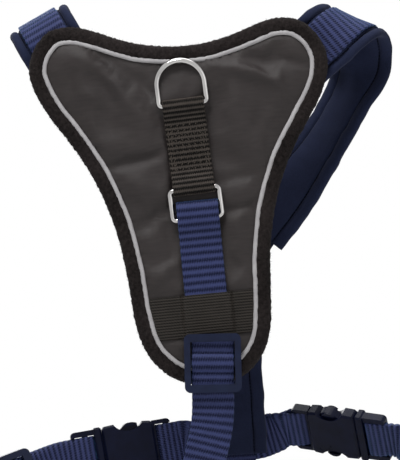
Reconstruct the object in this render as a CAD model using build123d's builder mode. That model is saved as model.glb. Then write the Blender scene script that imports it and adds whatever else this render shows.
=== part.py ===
"""Step-in dog harness with a padded chest panel, two lead rings and side-release buckles.

Frame: +X to the wearer's left as seen from the front, +Y towards the wearer's back, +Z up.
The origin is the middle of the chest panel's back face, which lies on the wearer's chest.
All lengths are in millimetres.
"""

from build123d import *
from math import cos, radians, sin, tan
import os

os.makedirs("parts", exist_ok=True)

# ---------------------------------------------------------------- driving sizes

# Webbing, padding and the gaps between them.
webbing_width = 25.0
webbing_thickness = 1.5
pad_width = 39.0
pad_thickness = 4.5
pad_corner = 1.8
ply_gap = 0.1
running_gap = 0.08

# Chest panel.
panel_lean = 5.6
panel_skew = 0.052
lining_thickness = 0.8
foam_thickness = 4.0
shell_thickness = 0.8
binding_width = 7.7
binding_lip = 0.8
binding_edge = 2.0
piping_width = 2.7
piping_height = 1.6
edge_stations = 60  # straight runs that stand for the panel's soft edge

# Lead rings of the front line.
ring_wire = 3.4
ring_inner_width = 25.1
ring_height = 29.3
ring_corner = 1.9
link_wire = 3.2
link_width = 29.5
link_height = 17.6
link_corner = 2.2
leash_line_across = 2.4
leash_line_up = 9.6
leash_line_turn = 1.8
bar_to_bar = 50.9
wire_sides = 8
eye_taper = 13.0

# Chest webbing, its keeper and its slider.
chest_line_across = 3.0
fold_top = 10.5
fold_foot = -14.0
return_foot = -66.0
keeper_up = -57.0
keeper_height = 25.4
keeper_thickness = 1.2
slider_lean = 1.4
slider_place = (11.5, -85.0)
slider_length = 35.0
girth_slider_length = 22.0
slider_width = 33.9
slider_window = 26.4
slider_bar = 4.8
slider_thickness = 4.4
slider_corner = 3.6
slider_bar_thickness = 2.2

# Withers patch, back pad and back ring.
back_level = 55.0
pad_level = 4.95
turn_radius = 16.0
shoulder_tuck = 20.0
back_pad_top = -40.0
back_pad_foot = -141.0
back_webbing_foot = -152.0
patch_thickness = 1.2
patch_corner = 4.0
back_ring_place = (20.2, -74.0)

# Side-release buckles.
buckle_width = 34.0
buckle_thickness = 9.4
socket_length = 41.0
socket_body_length = 31.0
cavity_depth = 29.0
cavity_width = 27.6
cavity_height = 6.2
window_centre = 16.5
window_radii = (9.5, 7.5)
window_reach = 19.5
socket_frame_width = 31.0
plug_block_length = 5.0
plug_length = 19.0
plug_frame_width = 32.4
frame_thickness = 5.6
slot_width = 25.8
buckle_bar = 3.8
tongue_width = 6.0
tongue_length = 27.0
arm_thickness = 5.6
arm_root = (-2.4, 9.4)
arm_root_radius = 2.2
arm_pad_thickness = 8.2
socket_bar_at = 39.0
plug_bar_at = 10.5
plug_reach = 6.0
ply_over_end_bar = 0.75
end_bar_thickness = 1.8
plate_length = 4.6
guide_length = 13.0
guide_width = 1.2
socket_round = 1.2
socket_corner = 1.6
plug_round = 1.0
right_roll = 42.0
stub_reach = 8.0
fit_gap = 0.3

# Girth straps.
left_mouth = (-53.0, 60.2, -141.0)
right_mouth = (99.4, 46.5, -128.6)
adjuster_run = 44.0
girth_slider_at = 20.0

# ---------------------------------------------------------------- worked-out sizes

panel_face = lining_thickness + foam_thickness + shell_thickness
eye_radius = ring_wire / 2 + running_gap + webbing_thickness
link_eye_radius = link_wire / 2 + running_gap + webbing_thickness
ply = webbing_thickness + ply_gap
strap_bed = panel_face + ply_gap
chest_level = strap_bed + ply + webbing_thickness
pad_face = back_level + pad_thickness / 2
back_webbing_middle = pad_face + ply_gap + webbing_thickness / 2
back_webbing_face = pad_face + ply_gap + webbing_thickness


# ---------------------------------------------------------------- planes and shared forms


def profile_plane(place, along, out):
    """A plane whose X runs along a strap and whose Y points out of its face."""
    along = Vector(along).normalized()
    out = Vector(out).normalized()
    return Plane(origin=place, x_dir=along, z_dir=along.cross(out))


def turned(lean):
    """The across direction of a front-facing plane that leans by an angle in degrees."""
    return Vector(cos(radians(lean)), 0, sin(radians(lean)))


TOWARDS_VIEW = Vector(0, -1, 0)
panel_plane = Plane(origin=(0, 0, 0), x_dir=turned(panel_lean), z_dir=TOWARDS_VIEW)
leash_plane = Plane(
    origin=panel_plane.from_local_coords((leash_line_across, leash_line_up, 0)),
    x_dir=turned(panel_lean + leash_line_turn),
    z_dir=TOWARDS_VIEW,
)
slider_plane = Plane(
    origin=(slider_place[0], -chest_level, slider_place[1]),
    x_dir=turned(slider_lean),
    z_dir=TOWARDS_VIEW,
)


# The chest panel's edge: one half drawn, the other reflected, and the shoulders skewed.
half_edge = [
    (22, 106.0),
    (42, 112.4),
    (59, 117.7),
    (74, 116.0),
    (84, 106.5),
    (88.6, 92),
    (85, 76.5),
    (66, 44.8),
    (52.3, 16),
    (45, -12),
    (41.6, -44),
    (35.6, -77),
    (24, -91.5),
]
right_edge = [(u, v - panel_skew * u) for u, v in half_edge]
left_edge = [(-u, v + panel_skew * u) for u, v in reversed(half_edge)]
with BuildLine() as panel_edge:
    Spline([(0, 103.8)] + right_edge + [(0, -98.8)] + left_edge, periodic=True)


def panel_face_at(inset):
    """Draw the panel's outline `inset` inside its outer edge."""
    points = []
    for station in range(edge_stations):
        place = panel_edge.line @ (station / edge_stations)
        along = panel_edge.line % (station / edge_stations)
        points.append(place + along.rotate(Axis.Z, -90) * inset)
    Polygon(*points, align=None)


def webbing_eye(bar_radius, reach, drop=0.0):
    """A strap folded round a bar at the origin, its two plies leaving along X."""
    outer = bar_radius + running_gap + webbing_thickness
    Circle(outer)
    with Locations((reach, drop)):
        Rectangle(0.4, 2 * webbing_thickness)
    make_hull()
    Circle(bar_radius + running_gap, mode=Mode.SUBTRACT)


def strap_corners(width, thickness, corner):
    """A strap's section as corners in order, its upper face broken where webbing lies on a pad."""
    across, deep = width / 2, thickness / 2
    if not corner:
        return [(-across, -deep), (across, -deep), (across, deep), (-across, deep)]
    return [
        (-across, corner - deep),
        (corner - across, -deep),
        (across - corner, -deep),
        (across, corner - deep),
        (across, deep - corner),
        (across - corner, deep),
        (webbing_width / 2, deep),
        (-webbing_width / 2, deep),
        (corner - across, deep),
        (-across, deep - corner),
    ]


def strap(runs, width, thickness, lift=0.0, corner=0.0):
    """Lay a flat strap along joined runs of (place, across) rows, in flat facets.

    A run of two rows is straight and a longer one is curved, meeting the straight runs beside it
    in line. `across` is the strap's width direction, and `lift` moves it off the route.
    """
    corners = strap_corners(width, thickness, corner)
    chords = [(run[-1][0] - run[-2][0], run[1][0] - run[0][0]) for run in runs]
    sections = []
    for number, run in enumerate(runs):
        leaving = chords[number - 1][0] if number else chords[number][1]
        arriving = chords[number + 1][1] if number + 1 < len(runs) else chords[number][0]
        line = Spline(
            [place for place, across in run],
            tangents=[leaving.normalized(), arriving.normalized()],
            mode=Mode.PRIVATE,
        )
        stations = [(line.param_at_point(place), across.normalized()) for place, across in run]
        if len(run) > 2:
            stations += [
                ((here[0] + ahead[0]) / 2, here[1] + ahead[1])
                for here, ahead in zip(stations, stations[1:])
            ]
            stations.sort(key=lambda station: station[0])
        for station, across in stations[1 if number else 0 :]:
            along = line.tangent_at(station)
            level = across - along * across.dot(along)
            section = Plane(origin=line.position_at(station), x_dir=level, z_dir=along)
            sections.append([section.from_local_coords((x, y + lift, 0)) for x, y in corners])
    outlines = [sections[0], sections[-1]]
    for here, ahead in zip(sections, sections[1:]):
        for number in range(len(corners)):
            following = (number + 1) % len(corners)
            left, right = sorted((number, following), key=lambda place: corners[place])
            outlines.append([here[left], here[right], ahead[right]])
            outlines.append([here[left], ahead[right], ahead[left]])
    add(Solid(Shell([Face(Wire.make_polygon(outline)) for outline in outlines])))


def save(part, name):
    """Name a finished piece and write it."""
    part.label = name
    export_step(part, f"parts/{name}.step")


# ---------------------------------------------------------------- chest panel

with BuildPart() as chest_panel_lining:
    with BuildSketch(panel_plane):
        panel_face_at(binding_edge + ply_gap)
    extrude(amount=lining_thickness)
save(chest_panel_lining.part, "chest_panel_lining")

with BuildPart() as chest_panel_foam:
    with BuildSketch(panel_plane.offset(lining_thickness)):
        panel_face_at(binding_width)
    extrude(amount=foam_thickness)
save(chest_panel_foam.part, "chest_panel_foam")

with BuildPart() as chest_panel_shell:
    with BuildSketch(panel_plane.offset(lining_thickness + foam_thickness)):
        panel_face_at(binding_edge + ply_gap)
    extrude(amount=shell_thickness)
save(chest_panel_shell.part, "chest_panel_shell")

# The binding is a soft channel that folds over the panel's edge.
with BuildPart() as edge_binding:
    with BuildSketch(panel_plane.offset(-binding_lip)):
        panel_face_at(0)
    extrude(amount=panel_face + 2 * binding_lip)
    with BuildSketch(panel_plane.offset(-binding_lip)):
        panel_face_at(binding_width)
    extrude(amount=panel_face + 2 * binding_lip, mode=Mode.SUBTRACT)
    with BuildSketch(panel_plane):
        panel_face_at(binding_edge)
    extrude(amount=panel_face, mode=Mode.SUBTRACT)
save(edge_binding.part, "edge_binding")

with BuildPart() as reflective_piping:
    with BuildSketch(panel_plane.offset(panel_face)):
        panel_face_at(binding_width)
    extrude(amount=piping_height)
    with BuildSketch(panel_plane.offset(panel_face)):
        panel_face_at(binding_width + piping_width)
    extrude(amount=piping_height, mode=Mode.SUBTRACT)
save(reflective_piping.part, "reflective_piping")

# ---------------------------------------------------------------- front line: rings and lead strap

link_level = strap_bed + link_eye_radius
ring_level = strap_bed + eye_radius
link_bar_up = link_height / 2
ring_bar_up = link_bar_up + bar_to_bar


def leash_profile(across, up, level, heading):
    """A side-on plane at a place on the lead line, with X heading up (1) or down (-1) it."""
    place = leash_plane.from_local_coords((across, up, level))
    return profile_plane(place, leash_plane.y_dir * heading, leash_plane.z_dir)


# The lead strap: a fold round each ring's bar, and two plies stitched together between them.
with BuildPart() as front_ring_strap:
    with BuildSketch(leash_profile(0, link_bar_up, link_level, 1)):
        webbing_eye(link_wire / 2, eye_taper, webbing_thickness - link_eye_radius)
    extrude(amount=webbing_width / 2, both=True)
    with BuildSketch(leash_profile(0, ring_bar_up, ring_level, -1)):
        webbing_eye(ring_wire / 2, eye_taper, webbing_thickness - eye_radius)
    extrude(amount=webbing_width / 2, both=True)
    with BuildSketch(leash_plane.offset(strap_bed)):
        with Locations((0, (link_bar_up + ring_bar_up) / 2)):
            Rectangle(webbing_width, bar_to_bar - 2 * eye_taper + 1)
    extrude(amount=2 * webbing_thickness)
save(front_ring_strap.part, "front_ring_strap")


def d_ring(plane):
    """A round-wire D ring: its bar along X through the plane's origin, its bow along +Y."""
    half = ring_inner_width / 2 + ring_wire / 2
    rise = ring_height - ring_wire / 2 - half - ring_wire / 2
    with BuildLine(plane) as outline:
        Line((-half + ring_corner, 0), (half - ring_corner, 0))
        CenterArc((half - ring_corner, ring_corner), ring_corner, -90, 90)
        Line((half, ring_corner), (half, rise))
        CenterArc((0, rise), half, 0, 180)
        Line((-half, rise), (-half, ring_corner))
        CenterArc((-half + ring_corner, ring_corner), ring_corner, 180, 90)
    return outline.line


def round_wire(line, wire):
    """Sweep a wire's many-sided round section along a ring's closed line."""
    with BuildSketch(Plane(line @ 0, z_dir=line % 0)) as section:
        RegularPolygon(wire / 2, wire_sides)
    sweep(section.sketch, path=line)


with BuildPart() as front_d_ring:
    ring_start = leash_plane.from_local_coords((0, ring_bar_up, ring_level))
    round_wire(d_ring(Plane(ring_start, leash_plane.x_dir, leash_plane.z_dir)), ring_wire)
save(front_d_ring.part, "front_d_ring")

with BuildPart() as link_ring:
    with BuildLine(leash_plane.offset(link_level), mode=Mode.PRIVATE) as link_line:
        FilletPolyline(
            (link_width / 2, link_height / 2),
            (link_width / 2, -link_height / 2),
            (-link_width / 2, -link_height / 2),
            (-link_width / 2, link_height / 2),
            radius=link_corner,
            close=True,
        )
    round_wire(link_line.line, link_wire)
save(link_ring.part, "link_ring")

# ---------------------------------------------------------------- chest webbing and keeper


def panel_profile(across, up):
    """A side-on plane on the chest panel, with X up the panel and Y out of its face."""
    place = panel_plane.from_local_coords((across, up, 0))
    return profile_plane(place, panel_plane.y_dir, panel_plane.z_dir)


# The fold is slack above the link ring's lower bar, and its plies lie flat below it.
fold_front = link_level + link_wire / 2 + 0.3 + webbing_thickness
with BuildPart() as chest_webbing_fold:
    with BuildSketch(panel_profile(chest_line_across, 0)):
        with BuildLine():
            Polyline(
                (fold_top - 2.4, strap_bed),
                (fold_foot, strap_bed),
                (fold_foot, chest_level),
                (fold_foot + 1, chest_level),
            )
            Polyline(
                (fold_foot + 1, chest_level),
                (-8.5, chest_level + 0.7),
                (-1.5, fold_front),
                (fold_top - 2.8, fold_front),
            )
            ThreePointArc(
                (fold_top - 2.8, fold_front),
                (fold_top, (fold_front + strap_bed) / 2),
                (fold_top - 2.4, strap_bed),
            )
        make_face()
        with BuildLine():
            Polyline(
                (fold_top - 2.8, strap_bed + webbing_thickness),
                (-3.2, strap_bed + webbing_thickness),
                (-2.4, strap_bed + webbing_thickness + 2.2),
                (-0.8, fold_front - webbing_thickness),
                (fold_top - 3.4, fold_front - webbing_thickness),
                (fold_top - 1.5, (fold_front + strap_bed) / 2 + 0.3),
                close=True,
            )
        make_face(mode=Mode.SUBTRACT)
    extrude(amount=webbing_width / 2, both=True)
save(chest_webbing_fold.part, "chest_webbing_fold")

with BuildPart() as chest_webbing_return:
    with BuildSketch(panel_plane.offset(strap_bed)):
        with Locations((chest_line_across, (fold_foot + return_foot - ply_gap) / 2)):
            Rectangle(webbing_width, fold_foot - ply_gap - return_foot)
    extrude(amount=webbing_thickness)
save(chest_webbing_return.part, "chest_webbing_return")

# The running ply: down the panel, through the slider, and on to the belly.
slide_x = slider_place[0]
ply_level = -(chest_level - webbing_thickness / 2)
RIGHTWARDS = Vector(1, 0, 0)
chest_top, chest_middle = (
    (panel_plane.from_local_coords((chest_line_across, up, -ply_level)), panel_plane.x_dir)
    for up in (fold_foot - ply_gap, keeper_up)
)
slide_top = (Vector(slide_x, ply_level, -74), RIGHTWARDS)
slide_foot = (Vector(slide_x, ply_level, -117), RIGHTWARDS)
belly_top = (Vector(5.0, -3.2, -200), RIGHTWARDS)
chest_runs = [
    [chest_top, chest_middle],
    [chest_middle, (Vector(slide_x - 0.5, ply_level, -67), Vector(1, 0, 0.05)), slide_top],
    [slide_top, slide_foot],
    [
        slide_foot,
        (Vector(9.8, ply_level, -129), Vector(1, 0, -0.17)),
        (Vector(6.8, ply_level, -142), Vector(1, 0, -0.16)),
        (Vector(5.0, -7.0, -160), Vector(1, 0, -0.06)),
        (Vector(4.8, -4.6, -182), RIGHTWARDS),
        belly_top,
    ],
    [belly_top, (Vector(5.0, -3.2, -224), RIGHTWARDS)],
]
with BuildPart() as chest_webbing:
    strap(chest_runs, webbing_width, webbing_thickness)
save(chest_webbing.part, "chest_webbing")

# The keeper is a flat elastic band sewn down at both ends, raised over the webbing.
keeper_side = webbing_width / 2 + 1.4
keeper_bed = panel_face + ply_gap / 2
keeper_roof = chest_level + 2 * ply_gap
with BuildPart() as keeper_band:
    with BuildSketch(
        Plane(
            panel_plane.from_local_coords((chest_line_across, keeper_up, 0)),
            x_dir=panel_plane.x_dir,
            z_dir=-panel_plane.y_dir,
        )
    ):
        with BuildLine():
            FilletPolyline(
                (-45, keeper_bed),
                (-keeper_side - 3, keeper_bed),
                (-keeper_side, keeper_roof),
                (keeper_side, keeper_roof),
                (keeper_side + 3, keeper_bed),
                (45, keeper_bed),
                radius=0.8,
            )
            FilletPolyline(
                (-45, keeper_bed + keeper_thickness),
                (-keeper_side - 3.9, keeper_bed + keeper_thickness),
                (-keeper_side - 0.9, keeper_roof + keeper_thickness),
                (keeper_side + 0.9, keeper_roof + keeper_thickness),
                (keeper_side + 3.9, keeper_bed + keeper_thickness),
                (45, keeper_bed + keeper_thickness),
                radius=0.8,
            )
            Line((-45, keeper_bed), (-45, keeper_bed + keeper_thickness))
            Line((45, keeper_bed), (45, keeper_bed + keeper_thickness))
        make_face()
    extrude(amount=keeper_height / 2, both=True)
    with BuildSketch(panel_plane):
        panel_face_at(binding_width + piping_width + ply_gap)
    extrude(amount=2 * keeper_roof, mode=Mode.INTERSECT)
save(keeper_band.part, "keeper_band")

# ---------------------------------------------------------------- sliders


def slider_frame(plane, length, raised_end):
    """A three-bar slider: its end bars lie over the webbing and its middle bar under the hump."""
    bed = fit_gap
    roof = bed + slider_thickness
    foot = bed + webbing_thickness + 2 * ply_gap
    with BuildSketch(plane.offset(foot)) as rim:
        RectangleRounded(slider_width, length, slider_corner)
        Rectangle(slider_window, length - 2 * slider_bar, mode=Mode.SUBTRACT)
    extrude(rim.sketch, amount=roof - foot)
    with BuildSketch(plane.offset(bed)) as rails:
        with Locations((0, -raised_end / 2)):
            Rectangle(slider_width, length - 2 * slider_bar - raised_end)
            Rectangle(slider_window, length, mode=Mode.SUBTRACT)
    extrude(rails.sketch, amount=roof - bed)
    with BuildSketch(plane.offset(bed)) as middle_bar:
        Rectangle(slider_window + 1, slider_bar)
    extrude(middle_bar.sketch, amount=slider_bar_thickness)


def slider_hump(plane, length):
    """The webbing where it climbs over a slider's middle bar, between its two end bars."""
    foot = fit_gap - 0.05
    top = fit_gap + slider_bar_thickness + ply_gap
    half = slider_bar / 2 + 0.5
    tail = length / 2 - 3.1
    ramp = 2.4
    with BuildSketch(profile_plane(plane.origin, plane.y_dir, plane.z_dir)) as side:
        with BuildLine():
            Polyline(
                (-tail, foot),
                (-half - ramp, foot),
                (-half, top),
                (half, top),
                (half + ramp, foot),
                (tail, foot),
                (tail, foot + webbing_thickness),
                (half + ramp + 0.7, foot + webbing_thickness),
                (half + 0.7, top + webbing_thickness),
                (-half - 0.7, top + webbing_thickness),
                (-half - ramp - 0.7, foot + webbing_thickness),
                (-tail, foot + webbing_thickness),
                close=True,
            )
        make_face()
    extrude(side.sketch, amount=webbing_width / 2, both=True)


with BuildPart() as chest_slider:
    slider_frame(slider_plane, slider_length, 3.0)
save(chest_slider.part, "chest_slider")

hump_plane = Plane(slider_plane.origin, x_dir=(1, 0, 0), z_dir=TOWARDS_VIEW)
with BuildPart() as chest_slider_hump:
    slider_hump(hump_plane, slider_length)
save(chest_slider_hump.part, "chest_slider_hump")

# ---------------------------------------------------------------- shoulder straps


def shoulder_turn(start, fold, rise, slant, hand):
    """Rows of a strap that turns back over a round shoulder, from its front face to its back.

    `fold` is the direction of the round's axis, `rise` the way up to it, and `slant` the angle
    in degrees at which the strap crosses it. `hand` is 1 or -1, by the side of the body.
    """
    fold = Vector(fold).normalized()
    rise = Vector(rise).normalized()
    rows = []
    for turn in range(0, 181, 30):
        ahead = rise * cos(radians(turn)) + Vector(0, 1, 0) * sin(radians(turn))
        across = fold * sin(radians(slant)) - ahead * cos(radians(slant))
        place = (
            Vector(start)
            + fold * (turn_radius * radians(turn) / tan(radians(slant)))
            + rise * (turn_radius * sin(radians(turn)))
            + Vector(0, turn_radius * (1 - cos(radians(turn))), 0)
        )
        rows.append((place, across * hand))
    return rows


def shoulder_runs(turn, back, end):
    """A straight start behind the panel, the turn and the way down the back, and a flat end."""
    start, across = turn[0]
    heading = across.cross(Vector(0, 1, 0)).normalized()
    if heading.Z < 0:
        heading = -heading
    return [[(start - heading * shoulder_tuck, across), turn[0]], turn + back + [end[0]], end]


right_turn = shoulder_turn((77.9, pad_level, 107.6), (0.915, 0, -0.404), (0.404, 0, 0.915), 65, -1)
right_back = [
    (Vector(97.2, 40.4, 84.6), Vector(-0.82, 0.56, 0.1)),
    (Vector(91.4, 43.6, 71.4), Vector(-0.66, 0.72, 0.2)),
    (Vector(81.6, 47.2, 53.5), Vector(-0.62, 0.7, 0.3)),
    (Vector(70.2, 50.2, 36.5), Vector(-0.68, 0.58, 0.4)),
    (Vector(58.6, 52.8, 21.0), Vector(-0.74, 0.32, 0.54)),
]
right_end = [
    (Vector(47.2, back_level, 6.4), Vector(-0.79, 0, 0.61)),
    (Vector(37.4, back_level, -6.2), Vector(-0.79, 0, 0.61)),
]
left_turn = shoulder_turn((-84.1, pad_level, 103.7), (-0.866, 0, -0.499), (-0.499, 0, 0.866), 90, 1)
left_back = [
    (Vector(-77.0, 40.2, 91.6), Vector(-0.84, -0.3, -0.45)),
    (Vector(-66.8, 43.4, 74.6), Vector(-0.76, -0.48, -0.44)),
    (Vector(-54.8, 47.2, 56.0), Vector(-0.74, -0.46, -0.48)),
    (Vector(-41.4, 50.4, 37.2), Vector(-0.76, -0.34, -0.54)),
    (Vector(-28.0, 53.0, 20.0), Vector(-0.77, -0.16, -0.6)),
]
left_end = [
    (Vector(-15.0, back_level, 3.6), Vector(-0.78, 0, -0.62)),
    (Vector(-5.4, back_level, -8.4), Vector(-0.78, 0, -0.62)),
]
shoulder_right_runs = shoulder_runs(right_turn, right_back, right_end)
shoulder_left_runs = shoulder_runs(left_turn, left_back, left_end)
shoulder_webbing_lift = pad_thickness / 2 + ply_gap + webbing_thickness / 2

with BuildPart() as shoulder_pad_right:
    strap(shoulder_right_runs, pad_width, pad_thickness, corner=pad_corner)
save(shoulder_pad_right.part, "shoulder_pad_right")

with BuildPart() as shoulder_webbing_right:
    strap(shoulder_right_runs, webbing_width, webbing_thickness, lift=shoulder_webbing_lift)
save(shoulder_webbing_right.part, "shoulder_webbing_right")

with BuildPart() as shoulder_pad_left:
    strap(shoulder_left_runs, pad_width, pad_thickness, corner=pad_corner)
save(shoulder_pad_left.part, "shoulder_pad_left")

with BuildPart() as shoulder_webbing_left:
    strap(shoulder_left_runs, webbing_width, webbing_thickness, lift=shoulder_webbing_lift)
save(shoulder_webbing_left.part, "shoulder_webbing_left")

# ---------------------------------------------------------------- back strap, withers patch and back ring

back_heading = Vector(0.064, 0, -1)
back_across = Vector(-1, 0, -0.064)
back_top = Vector(18.4, back_level, back_pad_top)


def back_run(top, foot, level):
    """A straight run down the back between two heights, `level` behind the chest."""
    return [
        [
            (Vector((back_top + back_heading * (back_pad_top - z)).X, level, z), back_across)
            for z in (top, foot)
        ]
    ]


with BuildPart() as back_pad:
    strap(
        back_run(back_pad_top, back_pad_foot, back_level), pad_width, pad_thickness, corner=pad_corner
    )
save(back_pad.part, "back_pad")

with BuildPart() as back_webbing:
    strap(
        back_run(back_pad_top, back_webbing_foot, back_webbing_middle),
        webbing_width,
        webbing_thickness,
    )
save(back_webbing.part, "back_webbing")

patch_outline = [
    (-22, -8),
    (-7, 9),
    (16, -2),
    (38, 13),
    (55, -5),
    (39, -28),
    (36, -56),
    (3, -56),
    (-1, -30),
]
with BuildPart() as withers_patch:
    with BuildSketch(Plane((0, back_webbing_face + ply_gap, 0), x_dir=(1, 0, 0), z_dir=(0, -1, 0))):
        Polygon(*patch_outline, align=None)
    extrude(amount=-patch_thickness)
    fillet(withers_patch.edges().filter_by(Axis.Y), patch_corner)
save(withers_patch.part, "withers_patch")

back_ring_across = Vector(1, 0, 0.067)
back_ring_level = back_webbing_face + ply_gap + eye_radius
back_ring_plane = Plane(
    (back_ring_place[0], back_ring_level, back_ring_place[1]),
    x_dir=back_ring_across,
    z_dir=(0, 1, 0),
)
with BuildPart() as back_d_ring:
    round_wire(d_ring(back_ring_plane), ring_wire)
save(back_d_ring.part, "back_d_ring")

with BuildPart() as back_ring_strap:
    with BuildSketch(profile_plane(back_ring_plane.origin, -back_ring_plane.y_dir, (0, 1, 0))):
        webbing_eye(ring_wire / 2, eye_taper, webbing_thickness - eye_radius)
    extrude(amount=webbing_width / 2, both=True)
save(back_ring_strap.part, "back_ring_strap")

# ---------------------------------------------------------------- side-release buckles


def buckle_plane(mouth, heading, roll):
    """The plane of a buckle: origin in the socket's mouth, X towards the plug, Z out of its face."""
    heading = Vector(heading).normalized()
    facing = (TOWARDS_VIEW - heading * heading.dot(TOWARDS_VIEW)).normalized()
    return Plane(origin=mouth, x_dir=heading, z_dir=facing.rotate(Axis((0, 0, 0), heading), roll))


def cross_bar(plane, across_at):
    """A round bar across the buckle, for a strap to fold round."""
    start = plane.from_local_coords((across_at, -slot_width / 2 - 0.3, 0))
    with BuildSketch(Plane(start, x_dir=plane.x_dir, z_dir=plane.y_dir)) as end:
        Circle(buckle_bar / 2)
    extrude(end.sketch, amount=slot_width + 0.6)


def socket(plane):
    """The female half: a hollow body with side windows, and a frame with a bar behind it."""
    half = buckle_width / 2
    rear = -socket_body_length
    with BuildSketch(plane.offset(-buckle_thickness / 2)) as body:
        with BuildLine():
            for edge in (1, -1):
                ThreePointArc(
                    (0, edge * (half - 0.5)),
                    (rear / 2, edge * half),
                    (rear, edge * socket_frame_width / 2),
                )
            Line((0, 0.5 - half), (0, half - 0.5))
            Line((rear, -socket_frame_width / 2), (rear, socket_frame_width / 2))
        make_face()
        chamfer(body.vertices(), socket_corner)
    block = extrude(body.sketch, amount=buckle_thickness)
    chamfer(block.faces().filter_by(Axis((0, 0, 0), plane.z_dir)).edges(), socket_round)
    with BuildSketch(Plane(plane.origin, x_dir=plane.y_dir, z_dir=-plane.x_dir)) as cavity:
        Rectangle(cavity_width, cavity_height)
    extrude(cavity.sketch, amount=cavity_depth, mode=Mode.SUBTRACT)
    with BuildSketch(plane.offset(-buckle_thickness)) as windows:
        with Locations((-window_centre, window_reach), (-window_centre, -window_reach)):
            Ellipse(*window_radii)
    extrude(windows.sketch, amount=2 * buckle_thickness, mode=Mode.SUBTRACT)
    with BuildSketch(plane.offset(-cavity_height / 2 - 0.2)) as guides:
        with Locations((-cavity_depth + guide_length / 2, 0)):
            with GridLocations(0, tongue_width + 2 * fit_gap + guide_width, 1, 2):
                Rectangle(guide_length, guide_width)
    extrude(guides.sketch, amount=cavity_height + 0.4)
    with BuildSketch(plane.offset(-frame_thickness / 2)) as frame:
        with Locations((-(socket_body_length + socket_length) / 2, 0)):
            Rectangle(socket_length - socket_body_length + 1, socket_frame_width)
        fillet(frame.vertices().group_by(Axis.X)[0], 2.5)
        with Locations((-socket_length + buckle_bar / 2, 0)):
            Rectangle(2 * (socket_length - socket_body_length) - buckle_bar - 2.4, slot_width,
                      mode=Mode.SUBTRACT)
    extrude(frame.sketch, amount=frame_thickness)
    cross_bar(plane, -socket_bar_at)


def plug(plane):
    """The male half: a tongue and a seat plate for the arms, a block, and a frame with a bar."""
    with BuildSketch(plane.offset(-buckle_thickness / 2)) as body:
        with Locations((plug_block_length / 2 + fit_gap / 2, 0)):
            Rectangle(plug_block_length - fit_gap, buckle_width)
    block = extrude(body.sketch, amount=buckle_thickness)
    chamfer(block.edges(), plug_round)
    with BuildSketch(plane.offset(-arm_thickness / 2)) as plate:
        with Locations((-plate_length / 2 + 0.5, 0)):
            Rectangle(plate_length + 1, cavity_width - 2 * fit_gap)
        with Locations((-tongue_length / 2, 0)):
            Rectangle(tongue_length, tongue_width)
        fillet(plate.vertices().group_by(Axis.X)[0], tongue_width / 2 - 0.4)
        for side in (1, -1):
            with Locations((arm_root[0], side * arm_root[1])):
                Circle(arm_root_radius + running_gap / 2, mode=Mode.SUBTRACT)
            with BuildLine():
                Polyline(
                    (arm_root[0], side * (arm_root[1] - 1.9)),
                    (-plate_length - 1, side * (arm_root[1] - 3.4)),
                    (-plate_length - 1, side * (arm_root[1] + 3.0)),
                    (arm_root[0], side * (arm_root[1] + 1.9)),
                    close=True,
                )
            make_face(mode=Mode.SUBTRACT)
    extrude(plate.sketch, amount=arm_thickness)
    with BuildSketch(plane.offset(-frame_thickness / 2)) as frame:
        with Locations(((plug_block_length + plug_length) / 2 - 0.5, 0)):
            Rectangle(plug_length - plug_block_length + 1, plug_frame_width)
        fillet(frame.vertices().group_by(Axis.X)[-1], 2.5)
        with Locations((plug_length, 0)):
            Rectangle(2 * (plug_length - plug_block_length), slot_width, mode=Mode.SUBTRACT)
    extrude(frame.sketch, amount=frame_thickness)
    with BuildSketch(plane.offset(-frame_thickness / 2)) as end_bar:
        with Locations((plug_length - 1.2, 0)):
            Rectangle(2.4, slot_width + 0.6)
    extrude(end_bar.sketch, amount=end_bar_thickness)
    cross_bar(plane, plug_bar_at)


def arm(plane, side):
    """One sprung arm: a round root in the plug's seat, a thin beam, and a shoulder for the thumb."""
    root_x, root_y = arm_root
    with BuildSketch(plane.offset(-arm_thickness / 2)) as beam:
        with BuildLine():
            ThreePointArc((root_x, root_y - 1.3), (-14.5, 9.6), (-25.4, 8.6))
            Polyline((-25.4, 8.6), (-26.4, 9.8), (-25.6, 11.9), (-22.0, 12.4), (-21.6, 15.9))
            ThreePointArc((-21.6, 15.9), (-17.8, 16.7), (-14.0, 15.9))
            ThreePointArc((-14.0, 15.9), (-9.0, 12.3), (root_x, root_y + 1.3))
            Line((root_x, root_y + 1.3), (root_x, root_y - 1.3))
        make_face()
        with Locations((root_x, root_y)):
            Circle(arm_root_radius)
        if side < 0:
            mirror(about=Plane.XZ, mode=Mode.REPLACE)
    extrude(beam.sketch, amount=arm_thickness)
    with BuildSketch(plane.offset(-arm_pad_thickness / 2)) as pad:
        with BuildLine():
            Line((-20.6, side * 14.9), (-12.9, side * 14.9))
            ThreePointArc((-20.6, side * 14.9), (-17.0, side * 16.7), (-12.9, side * 14.9))
        make_face()
    extrude(pad.sketch, amount=arm_pad_thickness)


buckles = {
    "left": buckle_plane(left_mouth, (-0.98, -0.08, -0.17), 0),
    "right": buckle_plane(right_mouth, (0.91, -0.38, -0.12), right_roll),
}
for side, plane in buckles.items():
    with BuildPart() as buckle_socket:
        socket(plane)
    save(buckle_socket.part, f"buckle_socket_{side}")
    with BuildPart() as buckle_plug:
        plug(plane)
    save(buckle_plug.part, f"buckle_plug_{side}")
    for place, turn in (("upper", 1), ("lower", -1)):
        with BuildPart() as buckle_arm:
            arm(plane, turn if side == "right" else -turn)
        save(buckle_arm.part, f"buckle_arm_{side}_{place}")

# ---------------------------------------------------------------- girth straps


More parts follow.
